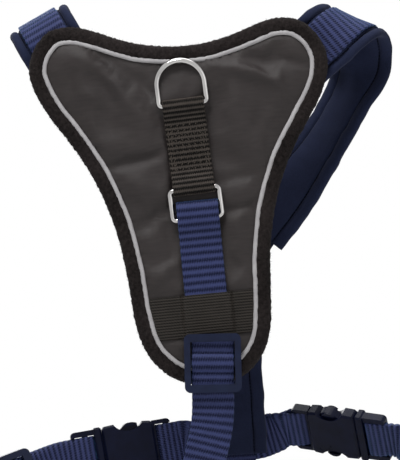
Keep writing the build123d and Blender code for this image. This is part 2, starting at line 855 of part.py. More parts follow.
def fold_at_bar(plane, bar_at, along, drop, reach):
    """Fold a strap round a buckle's bar and return where its two plies leave, and which way."""
    bar = plane.from_local_coords((bar_at, 0, 0))
    level = (along - plane.y_dir * plane.y_dir.dot(along)).normalized()
    out = plane.z_dir - level * level.dot(plane.z_dir)
    profile = profile_plane(bar, level, out)
    with BuildSketch(profile) as fold:
        webbing_eye(buckle_bar / 2, reach, drop)
    extrude(fold.sketch, amount=webbing_width / 2, both=True)
    return profile.from_local_coords((reach, drop, 0)), level


def upwards(direction):
    """The same direction, or its reverse if it points down."""
    return direction if direction.Z > 0 else -direction


# Each stub is folded round a socket's bar and sewn flat to the back strap's outer face.
stub_level = back_webbing_face + ply_gap + webbing_thickness
UPRIGHT = Vector(0, 0, 1)
stub_rows = {
    "left": [
        (Vector(2.0, stub_level + 1.2, -135.0), UPRIGHT),
        (Vector(11.0, stub_level, -134.8), UPRIGHT),
        (Vector(21.5, stub_level, -134.8), UPRIGHT),
    ],
    "right": [
        (Vector(48.6, stub_level + 2.6, -127.8), Vector(0, -0.25, 0.97)),
        (Vector(40.5, stub_level, -130.4), UPRIGHT),
        (Vector(26.4, stub_level, -132.4), UPRIGHT),
    ],
}
for side, plane in buckles.items():
    beside, sewn_from, sewn_to = stub_rows[side]
    towards = beside[0] - plane.from_local_coords((-socket_bar_at, 0, 0))
    with BuildPart() as girth_stub:
        start, along = fold_at_bar(plane, -socket_bar_at, towards, 0, stub_reach)
        strap(
            [[(start, upwards(plane.y_dir)), beside, sewn_from], [sewn_from, sewn_to]],
            webbing_width,
            2 * webbing_thickness,
        )
    save(girth_stub.part, f"girth_stub_{side}")

# Past each plug the strap runs straight for its slider, then turns round to the belly.
adjuster_headings = {"left": (-0.9, -0.28, -0.34), "right": (0.64, -0.56, -0.5)}
girth_gap = 0.7
belly_patch_level = 0.4
girth_turns = {
    "left": [
        (-139, 37.5, -168.5),
        (-147, 29, -172.5),
        (-151, 17, -177.5),
        (-148, 5, -183.5),
        (-137.5, -2.5, -190.5),
        (-120, -5, -198),
        (-97, -4, -205),
        (-70, -2.2, -210.5),
        (-45, -1.1, -213),
        (-25, -0.9, -213.5),
        (-10, -0.9, -213.5),
        (4.8, -0.9, -213.5),
    ],
    "right": [
        (164.5, -3, -164.5),
        (162, -9, -168),
        (153, -12, -172.5),
        (140, -11.5, -179.5),
        (122, -8.8, -189),
        (102, -5.4, -198.5),
        (80, -2.8, -206.5),
        (58, -1.3, -211.5),
        (38, -0.9, -213.5),
        (26, -0.9, -213.5),
        (15, -0.9, -213.5),
        (5.4, -0.9, -213.5),
    ],
}
for side, plane in buckles.items():
    heading = Vector(adjuster_headings[side]).normalized()
    across = upwards(plane.y_dir)
    upright = (Vector(0, 0, 1) - heading * heading.Z).normalized()
    outer_face = heading.cross(upright) if side == "right" else upright.cross(heading)
    with BuildPart() as adjuster_strap:
        start, along = fold_at_bar(plane, plug_bar_at, plane.x_dir, ply_over_end_bar, plug_reach)
        clear = start + along * 5.5
        run_start = clear + along * 5 + heading * 9
        run_end = run_start + heading * adjuster_run
        strap(
            [
                [(start, across), (clear, across)],
                [
                    (clear, across),
                    (clear + along * 4.5 + heading * 3, across + upright),
                    (run_start, upright),
                ],
                [(run_start, upright), (run_end, upright)],
            ],
            webbing_width,
            2 * webbing_thickness,
        )
    save(adjuster_strap.part, f"adjuster_strap_{side}")
    girth_slider_plane = Plane(
        run_start + heading * girth_slider_at + outer_face * webbing_thickness,
        x_dir=heading.cross(outer_face),
        z_dir=outer_face,
    )
    with BuildPart() as girth_slider:
        slider_frame(girth_slider_plane, girth_slider_length, 0)
    save(girth_slider.part, f"girth_slider_{side}")
    with BuildPart() as girth_slider_hump:
        slider_hump(girth_slider_plane, girth_slider_length)
    save(girth_slider_hump.part, f"girth_slider_hump_{side}")
    turn = [(Vector(*place), UPRIGHT) for place in girth_turns[side]]
    with BuildPart() as girth_webbing:
        strap(
            [[(run_end + heading * reach, upright) for reach in (girth_gap, 5)] + turn],
            webbing_width,
            webbing_thickness,
        )
    save(girth_webbing.part, f"girth_webbing_{side}")

with BuildPart() as belly_patch:
    with BuildSketch(Plane((5.1, belly_patch_level, -213.5), x_dir=(1, 0, 0), z_dir=(0, -1, 0))):
        RectangleRounded(38, 28, 3)
    extrude(amount=-patch_thickness)
save(belly_patch.part, "belly_patch")
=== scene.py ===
"""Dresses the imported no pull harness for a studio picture: panel, binding, webbing, pads and thread."""

import math

import bpy
import numpy as np
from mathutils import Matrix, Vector
from mathutils.geometry import delaunay_2d_cdt


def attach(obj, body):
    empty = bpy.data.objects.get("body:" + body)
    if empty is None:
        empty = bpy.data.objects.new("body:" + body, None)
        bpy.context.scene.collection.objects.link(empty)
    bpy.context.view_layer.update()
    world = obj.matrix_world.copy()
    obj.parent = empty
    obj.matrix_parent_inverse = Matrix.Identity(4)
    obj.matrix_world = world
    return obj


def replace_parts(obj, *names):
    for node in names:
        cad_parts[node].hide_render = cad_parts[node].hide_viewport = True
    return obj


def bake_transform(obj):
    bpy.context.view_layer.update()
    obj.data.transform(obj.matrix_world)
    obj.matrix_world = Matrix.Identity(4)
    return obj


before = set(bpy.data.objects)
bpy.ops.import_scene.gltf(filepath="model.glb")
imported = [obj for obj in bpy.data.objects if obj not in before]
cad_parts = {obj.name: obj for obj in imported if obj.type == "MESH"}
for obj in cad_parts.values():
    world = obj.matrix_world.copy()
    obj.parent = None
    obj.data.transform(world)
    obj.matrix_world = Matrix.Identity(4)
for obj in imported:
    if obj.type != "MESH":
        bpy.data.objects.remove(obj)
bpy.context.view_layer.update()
MM = 0.001
BODY = "harness"
scene = bpy.context.scene
rng = np.random.default_rng(11)
PLY, WIDE = 1.5, 25.0  # the webbing's thickness and width, in mm
WEAVE = {"black_webbing": 2.9, "elastic": 1.66, "navy_webbing": 4.4}  # each weave's own ribs, in mm
FINE_RIB, MIDDLE_RIB, BROAD_RIB = 2.9, 3.4, 4.4  # how far apart the ribs are on each strap, in mm


# ---------------------------------------------------------------- materials


def new_material(name):
    """An empty material and its node tree."""
    material = bpy.data.materials.new(name)
    material.use_nodes = True
    return material, material.node_tree


def node(tree, kind, inputs=None, **settings):
    """Add a node, set its properties and its unlinked inputs."""
    made = tree.nodes.new(kind)
    for key, value in settings.items():
        setattr(made, key, value)
    for key, value in (inputs or {}).items():
        if isinstance(value, bpy.types.NodeSocket):
            tree.links.new(value, made.inputs[key])
        else:
            made.inputs[key].default_value = value
    return made


def maths(tree, operation, first, second=0.0):
    """One Math node's output."""
    return node(tree, "ShaderNodeMath", {0: first, 1: second}, operation=operation).outputs[0]


def weighted(tree, *terms):
    """The sum of (value, weight) terms."""
    parts = [maths(tree, "MULTIPLY", value, weight) for value, weight in terms]
    total = parts[0]
    for part in parts[1:]:
        total = maths(tree, "ADD", total, part)
    return total


def around_zero(tree, value):
    """A noise's factor moved down by a half, so that it darkens as much as it lightens."""
    return maths(tree, "SUBTRACT", value, 0.5)


def uv_parts(tree):
    """The UV coordinates, across and along, in metres."""
    uv = node(tree, "ShaderNodeTexCoord").outputs["UV"]
    return node(tree, "ShaderNodeSeparateXYZ", {0: uv}).outputs


def ramp(tree, factor, stops):
    """A colour ramp over grey or colour stops."""
    made = node(tree, "ShaderNodeValToRGB", {"Fac": factor})
    elements = made.color_ramp.elements
    while len(elements) < len(stops):
        elements.new(0.5)
    for element, (place, colour) in zip(elements, stops):
        element.position = place
        element.color = (*colour, 1.0)
    return made.outputs["Color"]


def noise(tree, scale, detail=3.0, roughness=0.55, coords="Object", stretch=None):
    """A noise texture's factor, in object or UV coordinates."""
    place = node(tree, "ShaderNodeTexCoord").outputs[coords]
    if stretch:
        place = node(tree, "ShaderNodeMapping", {"Vector": place, "Scale": stretch}).outputs[0]
    inputs = {"Vector": place, "Scale": scale, "Detail": detail, "Roughness": roughness}
    return node(tree, "ShaderNodeTexNoise", inputs).outputs["Fac"]


def bumps(tree, *layers):
    """The normal of bumps on top of one another: each is a height, its depth in mm and its strength."""
    normal = None
    for height, depth, strength in layers:
        inputs = {"Height": height, "Distance": depth * MM, "Strength": strength}
        if normal is not None:
            inputs["Normal"] = normal
        normal = node(tree, "ShaderNodeBump", inputs).outputs["Normal"]
    return normal


def finish_material(tree, colour, rough, normal, **fixed):
    """Join colour, roughness and normal to the tree's shader, and set its fixed sockets."""
    shader = tree.nodes["Principled BSDF"]
    for key, value in (("Base Color", colour), ("Roughness", rough), ("Normal", normal)):
        if isinstance(value, bpy.types.NodeSocket):
            tree.links.new(value, shader.inputs[key])
        elif value is not None:
            shader.inputs[key].default_value = value
    for key, value in fixed.items():
        shader.inputs[key.replace("_", " ")].default_value = value


def webbing(name, dark, light, cord, depth, sheen, tint, low=0.34):
    """Woven webbing from UVs in metres: flat-topped ribs, slanting cords and teeth between them, coloured
    with painted shade in the valleys and a painted highlight on the crests.
    """
    material, tree = new_material(name)
    wide, long, _ = uv_parts(tree)
    wander = noise(tree, 300.0, 2.0, coords="UV")
    across = maths(tree, "MULTIPLY", wide, 2 * math.pi / (cord * MM))
    along = weighted(tree, (long, math.pi / (WEAVE[name] * MM)), (wander, 0.35))
    crest = maths(tree, "POWER", maths(tree, "ABSOLUTE", maths(tree, "SINE", along)), 1.1)
    teeth = maths(tree, "SINE", maths(tree, "ADD", across, maths(tree, "MULTIPLY", along, 1.6)))
    edge = maths(tree, "MULTIPLY", teeth, maths(tree, "SUBTRACT", 1.12, crest))
    height = maths(tree, "ADD", crest, maths(tree, "MULTIPLY", edge, 0.42))
    worn = noise(tree, 130.0, 4.0)
    fine = noise(tree, 2600.0, 2.0)
    # the colour follows the ribs' height: painted shade in the valleys and round the teeth, a painted
    # highlight on the crests; the worn and fine noises vary the tone at random
    shade = weighted(tree, (height, 0.74), (worn, 0.24), (around_zero(tree, fine), 0.3))
    colour = ramp(tree, shade, [(low, dark), (0.92, light)])
    normal = bumps(tree, (height, depth, 1.0), (fine, 0.06, 0.7))
    sheens = {"Sheen_Weight": sheen, "Sheen_Roughness": 0.4, "Sheen_Tint": (*tint, 1.0)}
    finish_material(tree, colour, 0.55, normal, Specular_IOR_Level=0.1, **sheens)
    return material


def nickel():
    """Polished nickel wire with faint handling marks."""
    material, tree = new_material("polished_nickel")
    marks = noise(tree, 240.0, 5.0, 0.6, stretch=(1.0, 1.0, 6.0))
    rough = maths(tree, "ADD", maths(tree, "MULTIPLY", marks, 0.1), 0.03)
    colour = ramp(tree, noise(tree, 60.0), [(0.3, (0.33, 0.32, 0.32)), (0.7, (0.5, 0.49, 0.48))])
    finish_material(tree, colour, rough, bumps(tree, (marks, 0.03, 0.4)), Metallic=1.0)
    return material


def plastic(name, dark, light, rough, shine):
    """Moulded nylon: a fine spark-eroded grain and slightly scuffed colour."""
    material, tree = new_material(name)
    grain = noise(tree, 3200.0, 2.0)
    scuff = noise(tree, 90.0, 6.0, 0.65)
    colour = ramp(tree, scuff, [(0.3, dark), (0.75, light)])
    roughness = maths(tree, "ADD", maths(tree, "MULTIPLY", scuff, 0.18), rough - 0.09)
    normal = bumps(tree, (grain, 0.03, 0.6), (scuff, 0.12, 0.35))
    finish_material(tree, colour, roughness, normal, Specular_IOR_Level=shine)
    return material


def satin_nylon():
    """The panel's face cloth: a close plain weave with a satin gleam."""
    material, tree = new_material("satin_nylon")
    pitch = 2 * math.pi / (0.62 * MM)
    warp, weft = [maths(tree, "SINE", maths(tree, "MULTIPLY", part, pitch)) for part in uv_parts(tree)[:2]]
    cloth = maths(tree, "MULTIPLY", warp, weft)
    slub = noise(tree, 420.0, 4.0, 0.6, coords="UV", stretch=(0.25, 1.6, 1.0))
    cloud = noise(tree, 26.0, 4.0)
    shade = weighted(tree, (slub, 0.6), (cloud, 0.4), (cloth, 0.07))
    colour = ramp(tree, shade, [(0.3, (0.0135, 0.0105, 0.0105)), (0.72, (0.029, 0.0235, 0.023))])
    rough = maths(tree, "ADD", maths(tree, "MULTIPLY", slub, 0.2), 0.34)
    normal = bumps(tree, (cloth, 0.05, 0.8), (slub, 0.09, 0.6))
    sheens = {"Sheen_Weight": 0.03, "Sheen_Roughness": 0.3}
    finish_material(tree, colour, rough, normal, Specular_IOR_Level=0.24, **sheens)
    return material


def napped(name, dark, light, scale, depth, sheen, rough=0.95):
    """Brushed or knitted cloth: clumps of nap over a fine fuzz."""
    material, tree = new_material(name)
    clumps = noise(tree, scale, 5.0, 0.7)
    fuzz = noise(tree, scale * 5, 3.0, 0.7)
    cloud = noise(tree, 30.0, 3.0)
    shade = weighted(tree, (clumps, 0.6), (cloud, 0.4), (around_zero(tree, fuzz), 0.35))
    colour = ramp(tree, shade, [(0.32, dark), (0.68, light)])
    normal = bumps(tree, (clumps, depth, 1.0), (fuzz, depth * 0.3, 0.8))
    sheens = {"Sheen_Weight": sheen, "Sheen_Roughness": 0.5}
    finish_material(tree, colour, rough, normal, Specular_IOR_Level=0.05, **sheens)
    return material


def reflective_tape():
    """Grey reflective piping: tiny glass beads in a woven tape."""
    material, tree = new_material("reflective_tape")
    beads = noise(tree, 5200.0, 1.0)
    cloud = noise(tree, 160.0, 4.0)
    shade = weighted(tree, (beads, 0.4), (cloud, 0.6))
    colour = ramp(tree, shade, [(0.3, (0.27, 0.26, 0.27)), (0.7, (0.42, 0.41, 0.415))])
    finish_material(tree, colour, 0.5, bumps(tree, (beads, 0.05, 0.7)), Specular_IOR_Level=0.3)
    return material


BLUE, BROWN = (0.15, 0.5, 1.0), (1.0, 0.85, 0.75)
MOULDED = {  # darkest and lightest colour, roughness and specular level
    "buckle_plastic": ((0.0018, 0.0026, 0.0095), (0.0042, 0.006, 0.0205), 0.3, 0.09),
    "slider_plastic": ((0.0045, 0.007, 0.022), (0.009, 0.0145, 0.04), 0.33, 0.14),
}
NAPPED = {  # darkest and lightest colour, scale of the nap, its depth in mm, sheen and roughness
    "fleece_binding": ((0.002, 0.0016, 0.0016), (0.031, 0.025, 0.0245), 620.0, 0.9, 0.03),
    "lining_fabric": ((0.0075, 0.0095, 0.021), (0.014, 0.018, 0.04), 1400.0, 0.12, 0.03),
    "padded_fabric": ((0.0105, 0.0135, 0.03), (0.0185, 0.0235, 0.053), 1300.0, 0.14, 0.04),
    "black_thread": ((0.024, 0.02, 0.017), (0.08, 0.067, 0.057), 2500.0, 0.05, 0.03, 0.6),
    "navy_thread": ((0.006, 0.009, 0.026), (0.022, 0.03, 0.08), 2500.0, 0.05, 0.03, 0.6),
    # the seam thread is near black: a real thread, darkened to paint the shade in the seams' grooves
    "seam_thread": ((0.0008, 0.001, 0.0025), (0.0025, 0.003, 0.007), 2500.0, 0.05, 0.0, 0.7),
}
WOVEN = {  # darkest colour, the webbing's own tone with painted shade for the ribs' valleys, and lightest colour, its tone with a painted highlight for their crests; width of a cord and depth in mm, sheen, its tint, dark end
    "black_webbing": ((0.0012, 0.001, 0.0008), (0.056, 0.047, 0.041), 1.3, 0.7, 0.06, BROWN, 0.5),
    "elastic": ((0.0035, 0.003, 0.0025), (0.034, 0.029, 0.025), 1.6, 0.3, 0.04, BROWN),
    "navy_webbing": ((0.0075, 0.0095, 0.034), (0.037, 0.046, 0.124), 1.45, 0.5, 0.2, BLUE),
}
skins = {"nickel": nickel(), "satin_nylon": satin_nylon(), "piping": reflective_tape()}
for make, looks in ((plastic, MOULDED), (napped, NAPPED), (webbing, WOVEN)):
    skins |= {name: make(name, *look) for name, look in looks.items()}


# ---------------------------------------------------------------- mesh helpers


def add_mesh(name, places, faces, skin, body=BODY, uv=None, smooth=True):
    """Make a piece from points in millimetres, skin it and let it ride a body, if one is named."""
    mesh = bpy.data.meshes.new(name)
    mesh.from_pydata((np.asarray(places, float) * MM).tolist(), [], [list(face) for face in faces])
    mesh.update()
    if uv is not None:
        layer = mesh.uv_layers.new(name="UVMap")
        corners = np.empty(len(mesh.loops), dtype=np.int64)
        mesh.loops.foreach_get("vertex_index", corners)
        layer.data.foreach_set("uv", (np.asarray(uv, float)[corners] * MM).ravel())
    mesh.polygons.foreach_set("use_smooth", [smooth] * len(mesh.polygons))
    mesh.materials.append(skins[skin])
    piece = bpy.data.objects.new(name, mesh)
    scene.collection.objects.link(piece)
    if body:
        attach(piece, body)
    return piece


def distances(points):
    """How far along a line each of its points is."""
    return np.concatenate([[0], np.cumsum(np.linalg.norm(np.diff(points, axis=0), axis=1))])


def loop_faces(rows, points, closed=False, flip=False):
    """Quads between neighbouring rows of points, where each row is a closed loop."""
    index = np.arange(rows * points).reshape(rows, points)
    below = np.roll(index, -1, axis=0)
    if not closed:
        index, below = index[:-1], below[:-1]
    after, beyond = np.roll(index, -1, axis=1), np.roll(below, -1, axis=1)
    order = [index, below, beyond, after] if flip else [index, after, beyond, below]
    return np.stack(order, axis=-1).reshape(-1, 4).tolist()


def spline(points, at_each, at):
    """A natural cubic spline through points given at `at_each`, sampled at `at`."""
    points = np.asarray(points, float)
    count = len(points)
    gaps = np.diff(at_each)
    matrix, right = np.eye(count), np.zeros_like(points)
    for i in range(1, count - 1):
        matrix[i, i - 1 : i + 2] = gaps[i - 1], 2 * (gaps[i - 1] + gaps[i]), gaps[i]
        right[i] = 6 * ((points[i + 1] - points[i]) / gaps[i] - (points[i] - points[i - 1]) / gaps[i - 1])
    bend = np.linalg.solve(matrix, right)
    i = np.clip(np.searchsorted(at_each, at, side="right") - 1, 0, count - 2)
    gap = gaps[i][:, None]
    low, high = (at_each[i + 1] - at)[:, None] / gap, (at - at_each[i])[:, None] / gap
    curve = low * points[i] + high * points[i + 1]
    return curve + gap**2 / 6 * ((low**3 - low) * bend[i] + (high**3 - high) * bend[i + 1])


def unit(rows):
    """The rows as unit vectors."""
    rows = np.asarray(rows, float)
    return rows / np.linalg.norm(rows, axis=-1, keepdims=True)


def route(rows, step=1.0):
    """Even stations along (place, across) rows: places, acrosses, normals and distances."""
    places = np.array([row[0] for row in rows], float)
    acrosses = unit([row[1] for row in rows])
    at_each = distances(places)
    count = max(3, int(at_each[-1] / step) + 1)
    at = np.linspace(0, at_each[-1], count)
    places = spline(places, at_each, at)
    along = unit(np.gradient(places, axis=0))
    across = spline(acrosses, at_each, at)
    across = unit(across - along * np.sum(across * along, axis=1, keepdims=True))
    return places, across, np.cross(along, across), at


def webbing_section(width, thickness, points=8):
    """A strap's section with rounded edges, as (across, height) points round it."""
    half, radius = width / 2, thickness / 2
    span = half - radius
    top = [(x, radius) for x in np.linspace(-span, span, points)]
    ends = [(span + radius * math.cos(a), radius * math.sin(a)) for a in np.radians([55, 20, -20, -55])]
    foot = [(x, -radius) for x in np.linspace(span, -span, points)]
    other = [(-x, -y) for x, y in ends]
    return np.array(top + ends + foot + other)


def sweep(name, rows, section, skin, body=BODY, lift=0.0, step=1.0, shape=None, rib=None):
    """Sweep a section along rows. `shape(across, height, along)` may move the section's points.

    `rib` is the pitch of woven ribs, which swell the strap a little and set its weave's scale.
    """
    places, across, normal, at = route(rows, rib / 7 if rib else step)
    stations, points = len(places), len(section)
    wide = np.broadcast_to(section[:, 0], (stations, points)).copy()
    high = np.broadcast_to(section[:, 1], (stations, points)).copy()
    along = np.broadcast_to(at[:, None], (stations, points))
    if shape is not None:
        wide, high = shape(wide, high, along)
    if rib:
        swell = np.abs(np.sin(along * math.pi / rib)) ** 0.8 - 0.5
        wide, high = wide * (1 + 0.014 * swell), high * (1 + 0.6 * swell)
        along = along * WEAVE[skin] / rib
    where = places[:, None] + across[:, None] * wide[..., None] + normal[:, None] * (high + lift)[..., None]
    caps = [list(range(points))[::-1], list(range((stations - 1) * points, stations * points))]
    uv = np.stack([wide, along], axis=-1).reshape(-1, 2)
    return add_mesh(name, where.reshape(-1, 3), loop_faces(stations, points) + caps, skin, body, uv)


def waves(places, pitch, seed, octaves=3):
    """Smooth pseudo-random heights from -1 to 1 at n-dimensional places, seeded."""
    source = np.random.default_rng(seed)
    places = np.asarray(places, float)
    total, size = np.zeros(places.shape[:-1]), 1.0
    for octave in range(octaves):
        for _ in range(6):
            heading = source.normal(size=places.shape[-1])
            heading *= 2 * math.pi / (pitch * 0.5**octave) / np.linalg.norm(heading)
            total += size * np.sin(places @ heading + source.uniform(0, 2 * math.pi)) / 6
        size *= 0.55
    return total


def stitches(name, runs, skin, body=BODY, length=2.0, pitch=2.6, width=0.5, rise=0.28):
    """Raised thread along runs of (place, normal) points: one little lozenge a stitch."""
    places, faces = [], []
    for run in runs:
        points = np.array([row[0] for row in run], float)
        normals = unit([row[1] for row in run])
        at_each = distances(points)
        for start in np.arange(0, at_each[-1] - length + 0.01, pitch):
            spots = [start, start + length * 0.5, start + length]
            ends = np.array([[np.interp(s, at_each, points[:, k]) for k in range(3)] for s in spots])
            out = unit([np.interp(start, at_each, normals[:, k]) for k in range(3)])
            along = unit(ends[2] - ends[0])
            side = np.cross(along, out) * width / 2
            base = len(places)
            for spot, (grow, up) in zip(ends, ((0.45, -0.1), (1.0, rise), (0.45, -0.1))):
                places += [
                    spot - side * grow + out * up * 0.2,
                    spot - side * grow * 0.5 + out * up,
                    spot + side * grow * 0.5 + out * up,
                    spot + side * grow + out * up * 0.2,
                ]
            for corner in (base, base + 1, base + 2, base + 4, base + 5, base + 6):
                faces.append([corner, corner + 1, corner + 5, corner + 4])
    return add_mesh(name, places, faces, skin, body)


# ---------------------------------------------------------------- chest panel

PANEL_LEAN, LEASH_LEAN = math.radians(5.6), math.radians(7.4)
FACE = 5.6  # the face cloth's height over the lining, in mm
CLOTH_SCALE = 4.0  # the cloth settles at this many times its size
LEASH_START = (2.4, 9.6)  # where the lead strap's own coordinates start on the panel
KEEPER_AT, KEEPER_WIDE = -57, 25.4
SLANT = 0.052  # how much the panel's outline slants across, on each side
half_edge = [(22, 106.0), (42, 112.4), (59, 117.7), (74, 116.0), (84, 106.5), (88.6, 92), (85, 76.5)]
half_edge += [(66, 44.8), (52.3, 16), (45, -12), (41.6, -44), (35.6, -77), (24, -91.5)]
edge_points = [(0, 103.8)] + [(u, v - SLANT * u) for u, v in half_edge]
edge_points += [(0, -98.8)] + [(-u, v + SLANT * u) for u, v in reversed(half_edge)]


def on_plane(u, v, height, lean=PANEL_LEAN, start=(0.0, 0.0)):
    """A place on a plane facing the viewer: across, up and height off it, in millimetres."""
    u, v, height = np.broadcast_arrays(np.asarray(u, float), v, height)
    x = start[0] + u * math.cos(lean) - v * math.sin(lean)
    return np.stack([x, -height, start[1] + u * math.sin(lean) + v * math.cos(lean)], axis=-1)


def closed_curve(points, count):
    """Even points and inward normals round a closed outline drawn clockwise."""
    points = np.asarray(points, float)
    wrapped = np.vstack([points[-4:], points, points[:5]])
    at_each = distances(wrapped)
    start, end = at_each[4], at_each[4 + len(points)]
    dense = spline(wrapped, at_each, np.linspace(start, end, 4000))
    length = distances(dense)
    even = np.linspace(0, length[-1], count, endpoint=False)
    curve = np.stack([np.interp(even, length, dense[:, k]) for k in range(2)], axis=-1)
    along = unit(np.roll(curve, -1, axis=0) - np.roll(curve, 1, axis=0))
    return curve, np.stack([along[:, 1], -along[:, 0]], axis=-1), length[-1]


def inside(loop, places):
    """Which places lie inside a closed loop."""
    x, y = places[:, 0], places[:, 1]
    found = np.zeros(len(places), bool)
    for (x1, y1), (x2, y2) in zip(loop, np.roll(loop, -1, axis=0)):
        crossing = (y1 > y) != (y2 > y)
        with np.errstate(divide="ignore", invalid="ignore"):
            found ^= crossing & (x < (x2 - x1) * (y - y1) / (y2 - y1) + x1)
    return found


def leash_line(u, v):
    """Panel coordinates as coordinates along the lead strap."""
    turn = LEASH_LEAN - PANEL_LEAN
    u, v = u - LEASH_START[0], v - LEASH_START[1]
    return u * math.cos(turn) + v * math.sin(turn), v * math.cos(turn) - u * math.sin(turn)


def covered(u, v):
    """How far a place on the panel is clear of the straps sewn on it, in millimetres."""
    across, up = leash_line(u, v)
    strap = np.maximum(np.abs(across) - WIDE / 2, np.maximum(4 - up, up - 52))
    webbing_run = np.maximum(np.abs(u - 3 - np.clip(-v - 62, 0, 20) * 0.12) - WIDE / 2, v - 10)
    band = np.abs(v - KEEPER_AT) - KEEPER_WIDE / 2
    return np.maximum(np.minimum(np.minimum(strap, webbing_run), band), 0)


def panel_grid(inset, spacing):
    """A triangle mesh inside the panel's outline, `inset` from its edge."""
    curve, inward, _ = closed_curve(edge_points, 420)
    loop = curve + inward * inset
    low, high = loop.min(axis=0), loop.max(axis=0)
    rows = []
    for j, v in enumerate(np.arange(low[1], high[1], spacing * 0.866)):  # rows of an even triangle grid
        us = np.arange(low[0] + (j % 2) * spacing / 2, high[0], spacing)
        rows.append(np.stack([us, np.full(len(us), v)], axis=-1))
    grid = np.vstack(rows)
    grid = grid[inside(curve + inward * (inset + spacing * 0.7), grid)]
    every = np.vstack([loop, grid])
    count = len(loop)
    edges = [(i, (i + 1) % count) for i in range(count)]
    places, _, faces, _, _, _ = delaunay_2d_cdt([Vector(p) for p in every], edges, [], 1, 1e-6)
    places = np.array([tuple(p) for p in places])
    gap = np.min(np.linalg.norm(places[:, None] - loop[None, ::3], axis=-1), axis=1)
    return places, [tuple(face) for face in faces], gap


def settled(places, faces, sewn, slack, puff, frames=20):
    """Let a cloth with some slack and a slight puff settle between the places where it is sewn down."""
    mesh = bpy.data.meshes.new("settling")
    mesh.from_pydata((places * MM * CLOTH_SCALE).tolist(), [], faces)
    piece = bpy.data.objects.new("settling", mesh)
    scene.collection.objects.link(piece)
    group = piece.vertex_groups.new(name="sewn")
    for index, weight in enumerate(sewn):
        group.add([index], float(weight), "REPLACE")
    modifier = piece.modifiers.new("Cloth", "CLOTH")
    cloth = modifier.settings
    cloth.quality = 6
    cloth.mass = 0.3
    cloth.tension_stiffness = cloth.compression_stiffness = 12
    cloth.shear_stiffness = 6
    cloth.bending_stiffness = 4.0
    cloth.vertex_group_mass = "sewn"
    cloth.shrink_min = -slack
    cloth.use_pressure = True
    cloth.uniform_pressure_force = puff
    cloth.effector_weights.gravity = 0
    modifier.point_cache.frame_start, modifier.point_cache.frame_end = 1, frames
    for number in range(1, frames + 1):
        scene.frame_set(number)
    found = piece.evaluated_get(bpy.context.evaluated_depsgraph_get())
    where = np.empty(len(places) * 3)
    found.data.vertices.foreach_get("co", where)
    bpy.data.objects.remove(piece)
    scene.frame_set(1)
    return where.reshape(-1, 3) / (MM * CLOTH_SCALE)


FOLDS = [  # a fold's two ends on the panel, its reach to each side and its height, in mm
    (-59, 107, -52, 53, 7, 1.3),
    (-52, 100, -24, 64, 5, 1.0),
    (-42, 100, -18, 78, 4.5, -0.8),
    (-45, 36, -21, 40, 3.6, -1.3),
    (-31, -1, -11, 10, 4, -1.3),
    (-14, -3, -14, -25, 6, -1.1),
    (-29, -36, -10, -23, 4.5, 1.1),
    (17, 92, 56, 78, 4.6, 1.6),
    (36, 100, 62, 104, 4.5, 0.9),
    (45, 92, 74, 86, 4, -0.9),
    (19, 3, 36, 4, 3.4, -1.3),
    (28, -1, 24, -18, 5, 0.9),
    (21, -16, 21, -30, 5, -1.0),
    (19, 21, 30, 23, 3.4, -0.7),
    (-39, 68, -52, 79, 6, 0.6),
    (27, 75, 40, 44, 8, 0.7),
    (-42, 24, -14, 21, 6, 0.6),
]


def folded(u, v):
    """The long soft folds and creases in the panel's cloth."""
    total = np.zeros(len(u))
    for u0, v0, u1, v1, reach, height in FOLDS:
        length = math.hypot(u1 - u0, v1 - v0)
        along = ((u - u0) * (u1 - u0) + (v - v0) * (v1 - v0)) / length
        aside = ((u - u0) * (v1 - v0) - (v - v0) * (u1 - u0)) / length
        past = np.maximum(np.maximum(-along, along - length), 0)
        total += height * np.exp(-((aside / reach) ** 2) - (past / (1.6 * reach)) ** 2)
    return total


def smoothed(values, faces, times):
    """Values averaged with their neighbours' over a mesh, several times."""
    ends = np.array([(face[i - 1], face[i]) for face in faces for i in range(len(face))])
    ends = np.vstack([ends, ends[:, ::-1]])
    count = np.bincount(ends[:, 0], minlength=len(values))
    for _ in range(times):
        total = np.bincount(ends[:, 0], values[ends[:, 1]], len(values))
        values = (values + total / np.maximum(count, 1)) / 2
    return values


def panel_sheet(name, places, faces, skin, uv, side):
    """One side of the panel, its faces turned to look that way along Y."""
    turned = []
    for face in faces:
        a, b, c = (places[i] for i in face[:3])
        turned.append(face if np.cross(b - a, c - a)[1] * side > 0 else face[::-1])
    return add_mesh(name, places, turned, skin, uv=uv)


def panel_face():
    """The satin face: a slack cloth sewn down at its edge and under the straps, with soft folds."""
    places, faces, gap = panel_grid(9.8, 2.1)
    u, v = places[:, 0], places[:, 1]
    clear = covered(u, v)
    rim = 1 - np.exp(-gap / 4)  # from 0 at the edge's seam to 1 away from it
    soft = 1 - np.exp(-clear / 7)  # the same for the straps' seams
    slant = np.stack([u + v * 0.55, (v - u * 0.55) * 0.22], axis=-1)
    other = np.stack([u - v * 0.6, (v + u * 0.6) * 0.22], axis=-1)
    uneven = np.where(u < 0, waves(slant, 26, 5, 2), waves(other, 26, 8, 2))
    height = FACE - 0.35 + rim * (0.25 + soft * (1.2 + 0.4 * uneven + 1.6 * folded(u, v)))
    sewn = np.maximum(np.exp(-gap / 1.2), np.exp(-clear / 0.8))
    moved = settled(np.stack([u, height, v], axis=-1), faces, sewn, 0.08, 0.5)
    u, v = moved[:, 0], moved[:, 2]
    height = height + 0.75 * smoothed(np.clip(moved[:, 1] - height, -1.4, 3.2), faces, 7) * rim
    where = on_plane(u, v, np.maximum(height, FACE - 0.5))
    return panel_sheet("panel_face", where, faces, "satin_nylon", places, -1)


def panel_back():
    """The lining against the chest, with a soft quilted edge."""
    places, faces, gap = panel_grid(7.2, 3.0)
    height = 0.1 + 0.5 * np.exp(-gap / 3) + 0.12 * waves(places, 26, 21, 2)
    where = on_plane(places[:, 0], places[:, 1], np.maximum(height, 0.0))
    return panel_sheet("panel_back", where, faces, "lining_fabric", places, 1)


